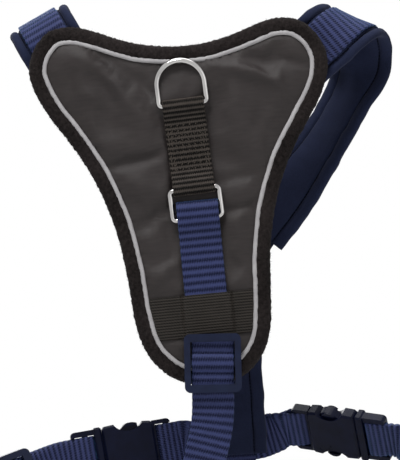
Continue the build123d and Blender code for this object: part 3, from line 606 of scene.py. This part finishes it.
def ring_sweep(name, inset, section, skin, count, rough=0.0, pitch=3.0, seed=1, sway=0.0):
    """Sweep a section of (inset, height) points round the panel's edge, with a rough surface."""
    curve, inward, length = closed_curve(edge_points, count)
    section = np.asarray(section, float)
    at = np.arange(count) * length / count
    drift = sway * waves(at[:, None], 31, seed + 4, 3)
    flat = curve[:, None] + inward[:, None] * (inset + section[None, :, :1] + drift[:, None, None])
    high = np.broadcast_to(section[None, :, 1], flat.shape[:2]).copy()
    if rough:
        spots = np.stack([*np.moveaxis(flat, -1, 0), high * 1.3], axis=-1)
        lumps = waves(spots, pitch, seed, 3) * rough
        out = unit(section - section.mean(axis=0))
        flat = flat + inward[:, None] * (lumps * out[None, :, 0])[..., None]
        high = high + lumps * out[None, :, 1]
    where = on_plane(flat[..., 0], flat[..., 1], high)
    uv = np.stack(np.broadcast_arrays(np.arange(len(section)) * 0.8, at[:, None]), axis=-1)
    faces = loop_faces(count, len(section), closed=True)
    return add_mesh(name, where.reshape(-1, 3), faces, skin, uv=uv.reshape(-1, 2))


# the binding's section: how far in from the panel's edge, and how high
binding_path = [(8.6, 5.3), (8.4, 6.3), (7.6, 7.0), (6.2, 7.3), (4.6, 7.25), (3.0, 6.9), (1.6, 6.2)]
binding_path += [(0.6, 5.2), (0.1, 3.9), (0.0, 2.6), (0.3, 1.2), (1.1, 0.1), (2.4, -0.55), (4.2, -0.75)]
binding_path += [(6.0, -0.7), (7.4, -0.3), (7.8, 0.6), (6.0, 2.8)]


def fleece_fuzz(count):
    """Short fibres standing off the binding's edge and face, as slim blades."""
    curve, inward, _ = closed_curve(edge_points, 2400)
    pick = rng.integers(0, len(curve), count)
    spot = rng.uniform(0.0, 1.0, count)
    shown = np.array(binding_path[1:14])
    where = spot * (len(shown) - 1)
    low = np.floor(where).astype(int).clip(0, len(shown) - 2)
    part = (where - low)[:, None]
    section = shown[low] * (1 - part) + shown[low + 1] * part
    out = unit(section - np.array([4.4, 3.2]) + rng.normal(0, 1.2, (count, 2)))
    size = rng.uniform(0.5, 1.25, count)
    base = np.concatenate([curve[pick] + inward[pick] * section[:, :1], section[:, 1:]], axis=1)
    lean = rng.normal(0, 0.5, (count, 2))
    tip_flat = base[:, :2] + inward[pick] * (out[:, :1] * size[:, None]) + lean * size[:, None] * 0.5
    tip = np.concatenate([tip_flat, base[:, 2:] + out[:, 1:] * size[:, None]], axis=1)
    side = unit(rng.normal(0, 1, (count, 3))) * 0.09
    corners = np.stack([base - side, base + side, tip], axis=1)
    places = on_plane(corners[..., 0], corners[..., 1], corners[..., 2]).reshape(-1, 3)
    faces = np.arange(count * 3).reshape(-1, 3).tolist()
    return add_mesh("binding_fuzz", places, faces, "fleece_binding")


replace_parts(panel_face(), "chest_panel_shell", "chest_panel_foam")
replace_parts(panel_back(), "chest_panel_lining")
binding_section = closed_curve(binding_path, 34)[0]
binding = ring_sweep("panel_binding", 0.0, binding_section, "fleece_binding", 900, 0.5, 3.2, 31, 0.14)
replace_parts(binding, "edge_binding")
fleece_fuzz(9000)
piping_section = [(1.45 * math.cos(a), 6.2 + 1.15 * math.sin(a)) for a in np.radians(np.arange(360, 0, -30))]
piping = ring_sweep("panel_piping", 9.0, piping_section, "piping", 640, 0.05, 5.0, 41, 0.22)
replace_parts(piping, "reflective_piping")


# ---------------------------------------------------------------- rings


def ring_piece(name, node_name, line, wire, place, body):
    """A round-wire ring along a closed line of (across, up) points, `place` putting it in space."""
    line = np.asarray(line, float)
    centres = place(line[:, 0], line[:, 1])
    along = unit(np.roll(centres, -1, axis=0) - np.roll(centres, 1, axis=0))
    facing_out = unit(np.cross(centres[len(line) // 4] - centres[0], centres[len(line) // 2] - centres[0]))
    aside = np.cross(along, facing_out)
    turn = np.linspace(0, 2 * math.pi, 20, endpoint=False)
    spin = np.cos(turn)[None, :, None] * aside[:, None] + np.sin(turn)[None, :, None] * facing_out
    where = centres[:, None] + spin * wire / 2
    faces = loop_faces(len(line), len(turn), closed=True, flip=True)
    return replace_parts(add_mesh(name, where.reshape(-1, 3), faces, "nickel", body), node_name)


def arc(x, y, radius, start, end, count):
    """Points along an arc, in degrees."""
    turn = np.radians(np.linspace(start, end, count))
    return np.stack([x + radius * np.cos(turn), y + radius * np.sin(turn)], axis=-1)


def wire_line(arcs, counts):
    """A closed line of arcs, each after a straight run of so many points from the arc before it."""
    parts = []
    for before, this, count in zip(arcs[-1:] + arcs[:-1], arcs, counts):
        parts += [np.linspace(before[-1], this[0], count + 2)[1:-1], this]
    return np.vstack(parts)


# a D ring: its wire, half its width, the height of its sides and the bend at its corners
WIRE, HALF, RISE, BEND = 3.4, 14.25, 11.65, 1.9
d_arcs = [arc(HALF - BEND, BEND, BEND, -90, 0, 9), arc(0, RISE, HALF, 0, 180, 60)]
d_line = wire_line(d_arcs + [arc(-HALF + BEND, BEND, BEND, 180, 270, 9)], (16, 8, 8))
# the link ring: its wire, its bend and where its bends are centred
LINK_WIRE, LINK_BEND = 3.2, 2.2
LINK_X, LINK_Y = 14.75 - LINK_BEND, 8.8 - LINK_BEND
corners = [(LINK_X, LINK_Y, 90), (LINK_X, -LINK_Y, 0), (-LINK_X, -LINK_Y, -90), (-LINK_X, LINK_Y, 180)]
link_line = wire_line([arc(x, y, LINK_BEND, turn, turn - 90, 9) for x, y, turn in corners], (12,) * 4)
leash_start = on_plane(*LEASH_START, 0)
LEASH_AT = (leash_start[0], leash_start[2])
RING_LEVEL, LINK_LEVEL = 8.98, 8.88  # the bars' heights over the lining
RING_BAR, LINK_BAR = 59.7, 8.8  # and their places along the lead strap


def leash(u, up, height):
    """A place along the lead strap."""
    return on_plane(u, up, height, LEASH_LEAN, LEASH_AT)


def front_ring(u, v):
    """A place in the front D ring's plane."""
    return leash(u, v + RING_BAR, RING_LEVEL)


def link_ring(u, v):
    """A place in the link ring's plane."""
    return leash(u, v, LINK_LEVEL)


BACK_TURN = 0.067  # how far the back ring is turned, as a slope
back_ring_x = unit([1, 0, BACK_TURN])
back_ring_y = np.cross([0, 1, 0], back_ring_x)
back_ring_at = np.array([20.2, 62.23, -74.0])


def back_ring(u, v):
    """A place in the back ring's plane."""
    return back_ring_at + np.asarray(u)[:, None] * back_ring_x + np.asarray(v)[:, None] * back_ring_y


ring_piece("front_ring_wire", "front_d_ring", d_line, WIRE, front_ring, "front_ring")
ring_piece("link_ring_wire", "link_ring", link_line, LINK_WIRE, link_ring, "front_link")
ring_piece("back_ring_wire", "back_d_ring", d_line, WIRE, back_ring, "back_ring")

# ---------------------------------------------------------------- front straps

PANEL_PLY, UPPER_PLY = 6.45, 8.05  # heights of a ply on the panel, and of one on top of it
FOLD_RADIUS, LOOP_RADIUS = 2.43, 2.53  # how far a ply's middle is from the bar that it goes round
strap_section = webbing_section(WIDE, PLY)
leash_across = -unit(leash(1, 0, 0) - leash(0, 0, 0))
panel_across = unit(on_plane(1, 0, 0) - on_plane(0, 0, 0))


def strap(name, rows, nodes, rib=FINE_RIB, body=BODY, skin="navy_webbing", section=strap_section, **more):
    """A strap of webbing along rows, which stands for CAD nodes."""
    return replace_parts(sweep(name, rows, section, skin, body, rib=rib, **more), *nodes)


def sewn(wide, high, along):
    """The unevenness of webbing that is sewn through."""
    wave = waves(along[..., None], 5, 61, 2) * np.sign(wide)
    return wide + 0.12 * wave, high + 0.12 * waves(np.stack([wide, along], axis=-1), 3.4, 62, 2)


# the lead strap seen from its side: (place along it, height), round the link ring's bar and the D ring's
leash_side = [(26, PANEL_PLY), (20, PANEL_PLY), (14, PANEL_PLY)]
leash_side += arc(LINK_BAR, LINK_LEVEL, FOLD_RADIUS, -90, -270, 9).tolist()
leash_side += [(13, 10.6), (17.5, 9.0), (22, 8.05), (28, 7.95), (35, 7.95), (42, 7.95), (47, 8.05)]
leash_side += [(51.5, 9.0), (55.6, 10.7)] + arc(RING_BAR, RING_LEVEL, LOOP_RADIUS, 90, -90, 9).tolist()
leash_side += [(54, PANEL_PLY), (48, PANEL_PLY), (42, PANEL_PLY)]
leash_rows = [(leash(0, up, level), leash_across) for up, level in leash_side]
strap("lead_strap", leash_rows, ["front_ring_strap"], skin="black_webbing", shape=sewn)


def lead_strap_thread():
    """Box and zigzag stitching through the lead strap."""
    lines = []
    for edge in (-11, 11):
        lines.append([(edge, 21), (edge, 48)])
        lines.append([(edge * 0.86, 20.5), (edge * 0.86, 48.5)])
    for up in np.arange(21.5, 48.5, 3.3):
        teeth = [(u, up + (1.25 if k % 2 else -1.25)) for k, u in enumerate(np.arange(-9.2, 9.5, 1.84))]
        lines += zip(teeth, teeth[1:])
    lines += [[(-11, up), (11, up)] for up in (19.8, 49.6)]
    runs = [[(leash(u, up, 8.78), (0, -1, 0)) for u, up in line] for line in lines]
    return stitches("lead_strap_thread", runs, "black_thread", length=1.9, pitch=2.4, width=0.8, rise=0.45)


lead_strap_thread()

# the chest webbing: folded through the link ring, back down the panel, and on to the belly
fold_side = [(0, PANEL_PLY), (4, PANEL_PLY), (8.1, 6.5), (9.9, 7.5), (10.6, 9.0), (9.9, 10.5), (7.7, 11.4)]
fold_side += [(3, 11.6), (-1.5, 11.3), (-6, 10.1), (-10, 9.0), (-14, 8.3)]
fold_side += [(up, UPPER_PLY) for up in (-22, -34, -46, -56)]
chest_rows = [(on_plane(3.0, up, level), panel_across) for up, level in fold_side]
chest_run = [(10.6, 8.05, -66, 0.05), (11.5, 8.05, -76, 0), (11.5, 8.05, -96, 0), (11.5, 8.05, -116, 0)]
chest_run += [(9.8, 8.05, -129, -0.17), (6.8, 8.05, -142, -0.16), (5.0, 7.0, -160, -0.06)]
chest_run += [(4.8, 4.6, -182, 0), (5.0, 3.2, -200, 0), (5.0, 3.2, -212, 0), (5.0, 3.2, -224, 0)]
chest_rows += [((x, -height, z), (1, 0, slope)) for x, height, z, slope in chest_run]
chest_nodes = ["chest_webbing", "chest_webbing_fold", "chest_webbing_return"]
strap("chest_webbing_run", chest_rows, chest_nodes, BROAD_RIB)


def limits(loop, v):
    """Where a level line meets a closed loop, lowest and highest."""
    a, b = loop, np.roll(loop, -1, axis=0)
    cross = (a[:, 1] > v) != (b[:, 1] > v)
    u = a[cross, 0] + (v - a[cross, 1]) / (b[cross, 1] - a[cross, 1]) * (b[cross, 0] - a[cross, 0])
    return u.min(), u.max()


def keeper():
    """The flat elastic keeper, sewn in at both sides and raised over the webbing."""
    curve, inward, _ = closed_curve(edge_points, 700)
    loop = curve + inward * 10.3
    section = webbing_section(KEEPER_WIDE, 1.2, points=17)
    stations = 150
    places, uv = [], []
    for share in np.linspace(0, 1, stations):
        for across, lift in section:
            v = KEEPER_AT + across
            low, high = limits(loop, v)
            u = low + share * (high - low)
            off = abs(u - 3.2) - 13.3  # how far it is clear of the webbing
            rise = 1 / (1 + math.exp((off - 1.6) * 2.2))
            end = min(u - low, high - u)
            sag = 0.55 * (abs(across) / (KEEPER_WIDE / 2)) ** 2 * rise
            level = 6.25 + 3.3 * rise - 0.5 * math.exp(-end / 1.6) - sag
            places.append(on_plane(u, v, level + lift))
            uv.append((u, v))
    return add_mesh("keeper_elastic", places, loop_faces(stations, len(section), flip=True), "elastic", uv=uv)


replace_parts(keeper(), "keeper_band")


def hump_rows(start, along, across, out, length):
    """A ply that climbs over a slider's middle bar, in rows."""
    tail = length / 2 - 3.1
    side = [(-tail, 1.0), (-tail * 0.7, 1.0), (-5.3, 1.1), (-3.5, 2.7), (-1.5, 3.4)]
    side += [(-s, h) for s, h in reversed(side)]
    return [(start + along * s + out * h, across) for s, h in side]


DOWN, OUT = np.array([0, 0, -1.0]), np.array([0, -1.0, 0])
slider_rows = hump_rows(np.array([11.5, -8.8, -85.0]), DOWN, (1, 0, 0), OUT, 35)
strap("slider_webbing", slider_rows, ["chest_slider_hump"], BROAD_RIB, "chest_adjuster")

# ---------------------------------------------------------------- padded straps

BACK, PAD_LEVEL, TURN = 55.0, 4.95, 16.0  # the back pad's and chest ends' levels, and the turns' radius


def shoulder_turn(start, fold, rise, slant, hand):
    """Rows of a strap turning back over a shoulder, from the chest to the back."""
    fold, rise, start = unit(fold), unit(rise), np.array(start)
    slant = math.radians(slant)
    rows = []
    for turn in np.radians(range(0, 181, 20)):
        ahead = rise * math.cos(turn) + np.array([0, 1, 0]) * math.sin(turn)
        across = (fold * math.sin(slant) - ahead * math.cos(slant)) * hand
        place = start + fold * TURN * turn / math.tan(slant) + rise * TURN * math.sin(turn)
        rows.append((place + np.array([0, TURN * (1 - math.cos(turn)), 0]), across))
    heading = np.cross(rows[0][1], [0, 1, 0])
    heading *= np.sign(heading[2])
    return [(rows[0][0] - heading * 20, rows[0][1]), (rows[0][0] - heading * 9, rows[0][1])] + rows


shoulder_rows = {
    "right": shoulder_turn((77.9, PAD_LEVEL, 107.6), (0.915, 0, -0.404), (0.404, 0, 0.915), 65, -1)
    + [
        ((97.2, 40.4, 84.6), (-0.82, 0.56, 0.1)),
        ((91.4, 43.6, 71.4), (-0.66, 0.72, 0.2)),
        ((81.6, 47.2, 53.5), (-0.62, 0.7, 0.3)),
        ((70.2, 50.2, 36.5), (-0.68, 0.58, 0.4)),
        ((58.6, 52.8, 21.0), (-0.74, 0.32, 0.54)),
        ((47.2, BACK, 6.4), (-0.79, 0, 0.61)),
        ((37.4, BACK, -6.2), (-0.79, 0, 0.61)),
    ],
    "left": shoulder_turn((-84.1, PAD_LEVEL, 103.7), (-0.866, 0, -0.499), (-0.499, 0, 0.866), 90, 1)
    + [
        ((-77.0, 40.2, 91.6), (-0.84, -0.3, -0.45)),
        ((-66.8, 43.4, 74.6), (-0.76, -0.48, -0.44)),
        ((-54.8, 47.2, 56.0), (-0.74, -0.46, -0.48)),
        ((-41.4, 50.4, 37.2), (-0.76, -0.34, -0.54)),
        ((-28.0, 53.0, 20.0), (-0.77, -0.16, -0.6)),
        ((-15.0, BACK, 3.6), (-0.78, 0, -0.62)),
        ((-5.4, BACK, -8.4), (-0.78, 0, -0.62)),
    ],
}


def pad_section():
    """A padded strap's section: a bed for the webbing between two seams, and two soft rims."""
    half = [(0, 2.15), (6, 2.15), (11.5, 2.1), (12.9, 1.8), (13.4, 1.1), (14.0, 1.1), (14.6, 2.1)]
    half += [(15.8, 2.65), (17.2, 2.65), (18.5, 2.1), (19.3, 1.1), (19.6, 0.0), (19.3, -1.1)]
    half += [(18.4, -2.1), (17.0, -2.65), (15.2, -2.7), (13.4, -2.5), (12.6, -2.0), (12.1, -1.0)]
    half += [(11.5, -1.0), (11.0, -2.0), (10.0, -2.4), (6, -2.5), (0, -2.55)]
    return np.array(half + [(-x, y) for x, y in reversed(half[1:-1])])


def soft(seed, depth=0.22):
    """A gentle unevenness for padding."""

    def move(wide, high, along):
        lumps = waves(np.stack([wide, along], axis=-1), 17, seed, 3)
        spread = 0.35 * waves(along[..., None], 23, seed + 1, 2) * wide / 19.5
        return wide + spread, high * (1 + depth * lumps)

    return move


SEAMS = [(13.7, 1.15, 1), (-13.7, 1.15, 1), (11.8, -1.05, -1), (-11.8, -1.05, -1)]  # across, height, outward


def padded_strap(label, rows, seed, nodes):
    """A padded strap with its seam thread, near black as painted shade along the seam grooves."""
    piece = sweep(f"{label}_padding", rows, pad_section(), "padded_fabric", step=1.4, shape=soft(seed))
    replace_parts(piece, *nodes)
    places, across, normal, _ = route(rows, 1.2)
    runs = [list(zip(places + across * x + normal * y, normal * out)) for x, y, out in SEAMS]
    stitches(f"{label}_seams", runs, "seam_thread", length=1.9, pitch=2.0, width=0.9, rise=0.2)


for side, rows in shoulder_rows.items():
    padded_strap(f"shoulder_{side}", rows, 71 if side == "left" else 83, [f"shoulder_pad_{side}"])
    strap(f"shoulder_strap_{side}", rows, [f"shoulder_webbing_{side}"], MIDDLE_RIB, lift=3.1)

BACK_TOP, BACK_SLOPE = -40, 0.064


def down_back(foot, level, count=6):
    """Rows straight down the back."""
    downs = np.linspace(BACK_TOP, foot, count)
    return [((18.4 + BACK_SLOPE * (BACK_TOP - z), level, z), (-1, 0, -BACK_SLOPE)) for z in downs]


padded_strap("back", down_back(-141, BACK), 97, ["back_pad"])
strap("back_strap", down_back(-152, 58.1), ["back_webbing"], MIDDLE_RIB)


def patch(name, node_name, outline, low, high, place, count=260):
    """A padded patch with turned edges: a closed shell over an outline in a plane."""
    curve, inward, _ = closed_curve(outline, count)
    layers = [(1.5, low), (0.3, low + 0.1), (0.0, (low + high) / 2), (0.3, high - 0.1), (1.2, high)]
    layers += [(2.2, high - 0.25), (3.4, high)]
    middle = curve.mean(axis=0)
    rings = []
    for inset, level in layers:
        loop = curve + inward * inset
        rings.append(np.concatenate([loop, np.full((count, 1), level)], axis=1))
    places = np.vstack(rings)
    faces = loop_faces(len(rings), count, flip=True)
    faces += [list(range(count)), list(range(len(places) - count, len(places)))[::-1]]
    where = place(places[:, 0], places[:, 1], places[:, 2])
    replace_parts(add_mesh(name, where, faces, "padded_fabric", uv=places[:, :2] - middle), node_name)
    seam = curve + inward * 2.2
    thread = [(place(*spot, high + 0.02), place(*spot, high + 1.02) - place(*spot, high)) for spot in seam]
    stitches(f"{name}_thread", [thread + thread[:1]], "navy_thread", length=1.9, width=0.42, rise=0.22)


def standing(u, v, level):
    """A place in an upright plane facing the back: across, up and its distance behind the chest."""
    return np.stack(np.broadcast_arrays(np.asarray(u, float), level, v), axis=-1)


withers = [(-22, -8), (-7, 9), (16, -2), (38, 13), (55, -5), (39, -28), (36, -56), (3, -56), (-1, -30)]


def with_corners(outline, radius=4.0, count=4):
    """An outline's corners as several points each, so that a smooth curve keeps its straight sides."""
    outline = np.asarray(outline, float)
    points = []
    for before, corner, after in zip(np.roll(outline, 1, axis=0), outline, np.roll(outline, -1, axis=0)):
        back, ahead = unit(before - corner) * radius, unit(after - corner) * radius
        reach_back, reach_ahead = (before - corner) * 0.35, (after - corner) * 0.35
        if np.linalg.norm(reach_back) > 1.5 * radius:
            points.append(corner + reach_back)
        for t in np.linspace(0, 1, count):
            points.append(corner + back * (1 - t) ** 2 + ahead * t**2)
        if np.linalg.norm(reach_ahead) > 1.5 * radius:
            points.append(corner + reach_ahead)
    return points


patch("withers_cover", "withers_patch", with_corners(withers), 59.0, 60.3, standing)

# ---------------------------------------------------------------- back ring strap, girth stubs and adjusters

ring_up = -back_ring_y
back_side = [(-13, 0.1 - LOOP_RADIUS), (-8, -LOOP_RADIUS)] + arc(0, 0, LOOP_RADIUS, -90, 90, 9).tolist()
back_side += [(-6, 1.9), (-13, -0.8)]
back_rows = [(back_ring_at - ring_up * s + np.array([0, h, 0]), (-1, 0, -BACK_TURN)) for s, h in back_side]
strap("back_ring_loop", back_rows, ["back_ring_strap"], skin="black_webbing")


def double_section(width, thickness):
    """The section of two plies sewn together, with a groove between them at each edge."""
    points, end_points = 8, 4
    single = webbing_section(width, thickness / 2, points)
    top = single[: points + end_points] + [0, thickness / 4]
    return np.vstack([top, -top])


buckle_planes = {
    "left": ((-53.0, 60.2, -141.0), (-0.982114, -0.080173, -0.170367), (0.170917, 0, -0.985285)),
    "right": ((99.4, 46.5, -128.6), (0.91602, -0.382514, -0.120794), (-0.156599, -0.618243, 0.770229)),
}
UP = np.array([0, 0, 1.0])
stub_rows = {
    "left": [((2.0, 60.45, -135.0), UP), ((11.0, 60.95, -134.8), UP), ((21.5, 60.6, -134.8), UP)],
    "right": [
        ((49.4, 62.3, -127.4), (-0.07, -0.34, 0.94)),
        ((45.0, 61.6, -128.9), (0, -0.14, 0.99)),
        ((40.5, 60.6, -130.4), UP),
        ((26.4, 60.6, -132.4), UP),
    ],
}
adjuster_headings = {"left": (-0.9, -0.28, -0.34), "right": (0.64, -0.56, -0.5)}
# the girth straps' places from the adjusters round to the belly
left_turn = [(-139, 37.5, -168.5), (-147, 29, -172.5), (-151, 17, -177.5), (-148, 5, -183.5)]
left_turn += [(-137.5, -2.5, -190.5), (-120, -5, -198), (-97, -4, -205)]
left_turn += [(-70, -2.2, -210.5), (-45, -1.1, -213)]
right_turn = [(164.5, -3, -164.5), (162, -9, -168), (153, -12, -172.5), (140, -11.5, -179.5)]
right_turn += [(122, -8.8, -189), (102, -5.4, -198.5), (80, -2.8, -206.5), (58, -1.3, -211.5)]
BELLY_OUT, BELLY_AT = -0.9, -213.5
girth_turns = {
    "left": left_turn + [(x, BELLY_OUT, BELLY_AT) for x in (-25, -10, 4.8)],
    "right": right_turn + [(x, BELLY_OUT, BELLY_AT) for x in (38, 26, 15, 5.4)],
}


def upward(direction):
    """A direction, or its reverse if it points down."""
    return direction if direction[2] > 0 else -direction


def bar_fold(name, bar, level, out, across, reach, drop, slack, body):
    """Webbing folded loosely round a buckle's bar, from one ply to the other."""
    half = [(reach, 0.78), (reach * 0.5, 2.2), (0, 2.75), (1.2 - slack, 2.7), (-slack, 2.0)]
    half += [(-slack - 0.7, 0.0)]
    side = [(s, drop * max(s, 0) / reach - h) for s, h in half]
    side += [(s, drop * max(s, 0) / reach + h) for s, h in half[-2::-1]]
    rows = [(bar + level * s + out * h, across) for s, h in side]
    return sweep(name, rows, strap_section, "navy_webbing", body, rib=FINE_RIB)


def at_bar(origin, x, y, z, bar_at, along, drop, reach):
    """The bar's place, and where and which way its two plies leave it."""
    bar = origin + x * bar_at
    level = unit(along - y * np.dot(y, along))
    out = unit(z - level * np.dot(level, z))
    return bar, level, out, bar + level * reach + out * drop


def ply_thread(name, rows, shape_points, height, body):
    """Box stitching on a sewn end: corners are (across, share of the run)."""
    places, across, normal, _ = route(rows, 0.8)
    runs = []
    for a, b in zip(shape_points, shape_points[1:]):
        run = []
        for aside, share in np.linspace(a, b, 18):
            i = share * (len(places) - 1)
            k = min(int(i), len(places) - 2)
            place = places[k] * (1 - i + k) + places[k + 1] * (i - k)
            run.append((place + across[k] * aside + normal[k] * height, normal[k] * np.sign(height)))
        runs.append(run)
    return stitches(name, runs, "navy_thread", body, length=1.8, pitch=2.4, width=0.5, rise=0.26)


BOX = [(-10, 0.1), (10, 0.1), (10, 0.9), (-10, 0.9), (-10, 0.1), (10, 0.9)]
CROSS = BOX + [(10, 0.1), (-10, 0.9)]
SOCKET_BAR, STUB_REACH = -39.0, 8.0  # the socket's bar from the buckle's middle, and the fold's length
PLUG_BAR, PLUG_REACH, PLUG_DROP = 10.5, 6.0, 0.75
double = double_section(WIDE, 2 * PLY)
for side, (origin, x, y) in buckle_planes.items():
    origin, x, y = np.array(origin), np.array(x), np.array(y)
    z, across, plug = np.cross(x, y), upward(y), f"plug_{side}"
    # the stub, from the socket's bar to the back strap
    beside = np.array(stub_rows[side][0][0]) - (origin + x * SOCKET_BAR)
    bar, level, out, start = at_bar(origin, x, y, z, SOCKET_BAR, beside, 0, STUB_REACH)
    rows = [(start - level * 1.5, across), (start + level * 1.5, across)] + stub_rows[side]
    strap(f"stub_run_{side}", rows, [f"girth_stub_{side}"], section=double)
    bar_fold(f"stub_fold_{side}", bar, level, out, across, STUB_REACH, 0, 6.0, BODY)
    for label, face in (("front", 1), ("rear", -1)):
        ply_thread(f"stub_thread_{side}_{label}", rows[2:], CROSS, 1.53 * face, BODY)
    # the adjuster strap, from the plug's bar past the slider
    bar, level, out, start = at_bar(origin, x, y, z, PLUG_BAR, x, PLUG_DROP, PLUG_REACH)
    heading = unit(adjuster_headings[side])
    upright = unit(UP - heading * heading[2])
    outward = np.cross(heading, upright) if side == "right" else np.cross(upright, heading)
    clear = start + level * 5.5
    run_start = clear + level * 5 + heading * 9
    run_end = run_start + heading * 44
    rows = [(start - level * 1.5, across), (start + level * 2, across), (clear, across)]
    rows += [(clear + level * 4.5 + heading * 3, unit(across + upright))]
    rows += [(run_start + heading * s, upright) for s in (0, 3, 8, 16, 25, 34, 44)]
    strap(f"adjuster_run_{side}", rows, [f"adjuster_strap_{side}"], body=plug, section=double)
    bar_fold(f"adjuster_fold_{side}", bar, level, out, across, PLUG_REACH, PLUG_DROP, 3.9, plug)
    centre = run_start + heading * 20 + outward * PLY
    rows = hump_rows(centre, heading, np.cross(heading, outward), outward, 22)
    strap(f"girth_slider_webbing_{side}", rows, [f"girth_slider_hump_{side}"], body=f"girth_adjuster_{side}")
    # the girth strap, which bends between the belly and the plug
    rows = [(run_end - heading * 2.5, upright), (run_end + heading * 5, upright)]
    rows += [(place, UP) for place in girth_turns[side]]
    girth = strap(f"girth_strap_{side}", rows, [f"girth_webbing_{side}"], body=None)
    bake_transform(girth)


def belly(u, v, level):
    """A place on the belly patch, which faces the wearer."""
    return np.stack(np.broadcast_arrays(np.asarray(u, float) + 5.1, level, np.asarray(v) + BELLY_AT), axis=-1)


patch_corners = with_corners([(-19, 14), (19, 14), (19, -14), (-19, -14)], 3.0)
patch("belly_cover", "belly_patch", patch_corners, 0.4, 1.6, belly, 160)

# ---------------------------------------------------------------- plain CAD pieces and their finish

for name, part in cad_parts.items():
    if part.hide_render:
        continue
    skin = "buckle_plastic" if name.startswith("buckle") else "slider_plastic"
    part.data.materials.clear()
    part.data.materials.append(skins[skin])

# ---------------------------------------------------------------- light, floor and camera


def area_light(name, place, target, size, power):
    """A soft box aimed at a place: places and sizes in metres, power in watts."""
    lamp = bpy.data.lights.new(name, "AREA")
    lamp.shape = "RECTANGLE"
    lamp.size, lamp.size_y = size
    lamp.energy = power
    holder = bpy.data.objects.new(name, lamp)
    holder.location = place
    holder.rotation_euler = (Vector(target) - Vector(place)).to_track_quat("-Z", "Y").to_euler()
    scene.collection.objects.link(holder)


area_light("key", (-0.3, -0.62, 1.2), (0, 0, 0), (0.55, 0.4), 19)
area_light("fill", (0.9, -1.0, 0.2), (0, 0, -0.05), (0.9, 0.9), 2.0)
area_light("top", (0.1, 0.3, 1.2), (0, 0, 0), (1.0, 0.7), 8)
area_light("back", (-0.5, 1.1, 0.5), (0, 0, -0.05), (1.0, 0.8), 7)



def seen_by(tree, first, *others):
    """1 for the kinds of ray that are named, and 0 for the rest."""
    rays = node(tree, "ShaderNodeLightPath").outputs
    found = rays[first]
    for other in others:
        found = maths(tree, "MAXIMUM", found, rays[other])
    return found


world = bpy.data.worlds.new("studio")
scene.world = world
world.use_nodes = True
tree = world.node_tree
seen = seen_by(tree, "Is Camera Ray", "Is Transmission Ray", "Is Glossy Ray")
mixed = node(tree, "ShaderNodeMix", {"Factor": seen, "A": 0.2, "B": 1.0}, data_type="FLOAT")
background = tree.nodes["Background"]
background.inputs["Color"].default_value = (1, 1, 1, 1)
tree.links.new(mixed.outputs["Result"], background.inputs["Strength"])

# a pale floor that keeps the shadow, and turns to the background's white away from the harness
FLOOR_LEVEL, FLOOR_REACH, FADE_START, FADE_END = -0.2285, 2.5, 0.3, 0.62
square = ((-1, -1), (1, -1), (1, 1), (-1, 1))
floor_corners = [(x * FLOOR_REACH, y * FLOOR_REACH, FLOOR_LEVEL) for x, y in square]
floor_mesh = bpy.data.meshes.new("floor")
floor_mesh.from_pydata(floor_corners, [], [(0, 1, 2, 3)])
floor = bpy.data.objects.new("floor", floor_mesh)
scene.collection.objects.link(floor)
floor_material, tree = new_material("pale_floor")
tint = ramp(tree, noise(tree, 9.0), [(0.3, (0.88, 0.88, 0.88)), (0.7, (0.92, 0.92, 0.92))])
finish_material(tree, tint, 0.8, None, Specular_IOR_Level=0.1)
spot = node(tree, "ShaderNodeNewGeometry").outputs["Position"]
reach = node(tree, "ShaderNodeVectorMath", {0: spot}, operation="LENGTH").outputs["Value"]
fading = {"Value": reach, "From Min": FADE_START, "From Max": FADE_END}
far = node(tree, "ShaderNodeMapRange", fading, interpolation_type="SMOOTHSTEP").outputs["Result"]
seen = seen_by(tree, "Is Camera Ray", "Is Glossy Ray")
white = node(tree, "ShaderNodeEmission", {"Color": (1, 1, 1, 1), "Strength": 1.0})
fade = node(tree, "ShaderNodeMixShader", {0: maths(tree, "MULTIPLY", far, seen)})
tree.links.new(tree.nodes["Principled BSDF"].outputs[0], fade.inputs[1])
tree.links.new(white.outputs[0], fade.inputs[2])
tree.links.new(fade.outputs[0], tree.nodes["Material Output"].inputs["Surface"])
floor_mesh.materials.append(floor_material)

camera = bpy.data.cameras.new("camera")
camera.lens = 800
camera.sensor_width = 36
eye = bpy.data.objects.new("camera", camera)
PIXEL = 0.595 * MM
distance = 460 * PIXEL / (36 / 800)
eye.location = (3.87 * MM, -distance, -5.95 * MM)
eye.rotation_euler = (math.radians(90), 0, 0)
camera.clip_start, camera.clip_end = 0.5, 40
scene.collection.objects.link(eye)
scene.camera = eye
scene.view_settings.view_transform = "Standard"
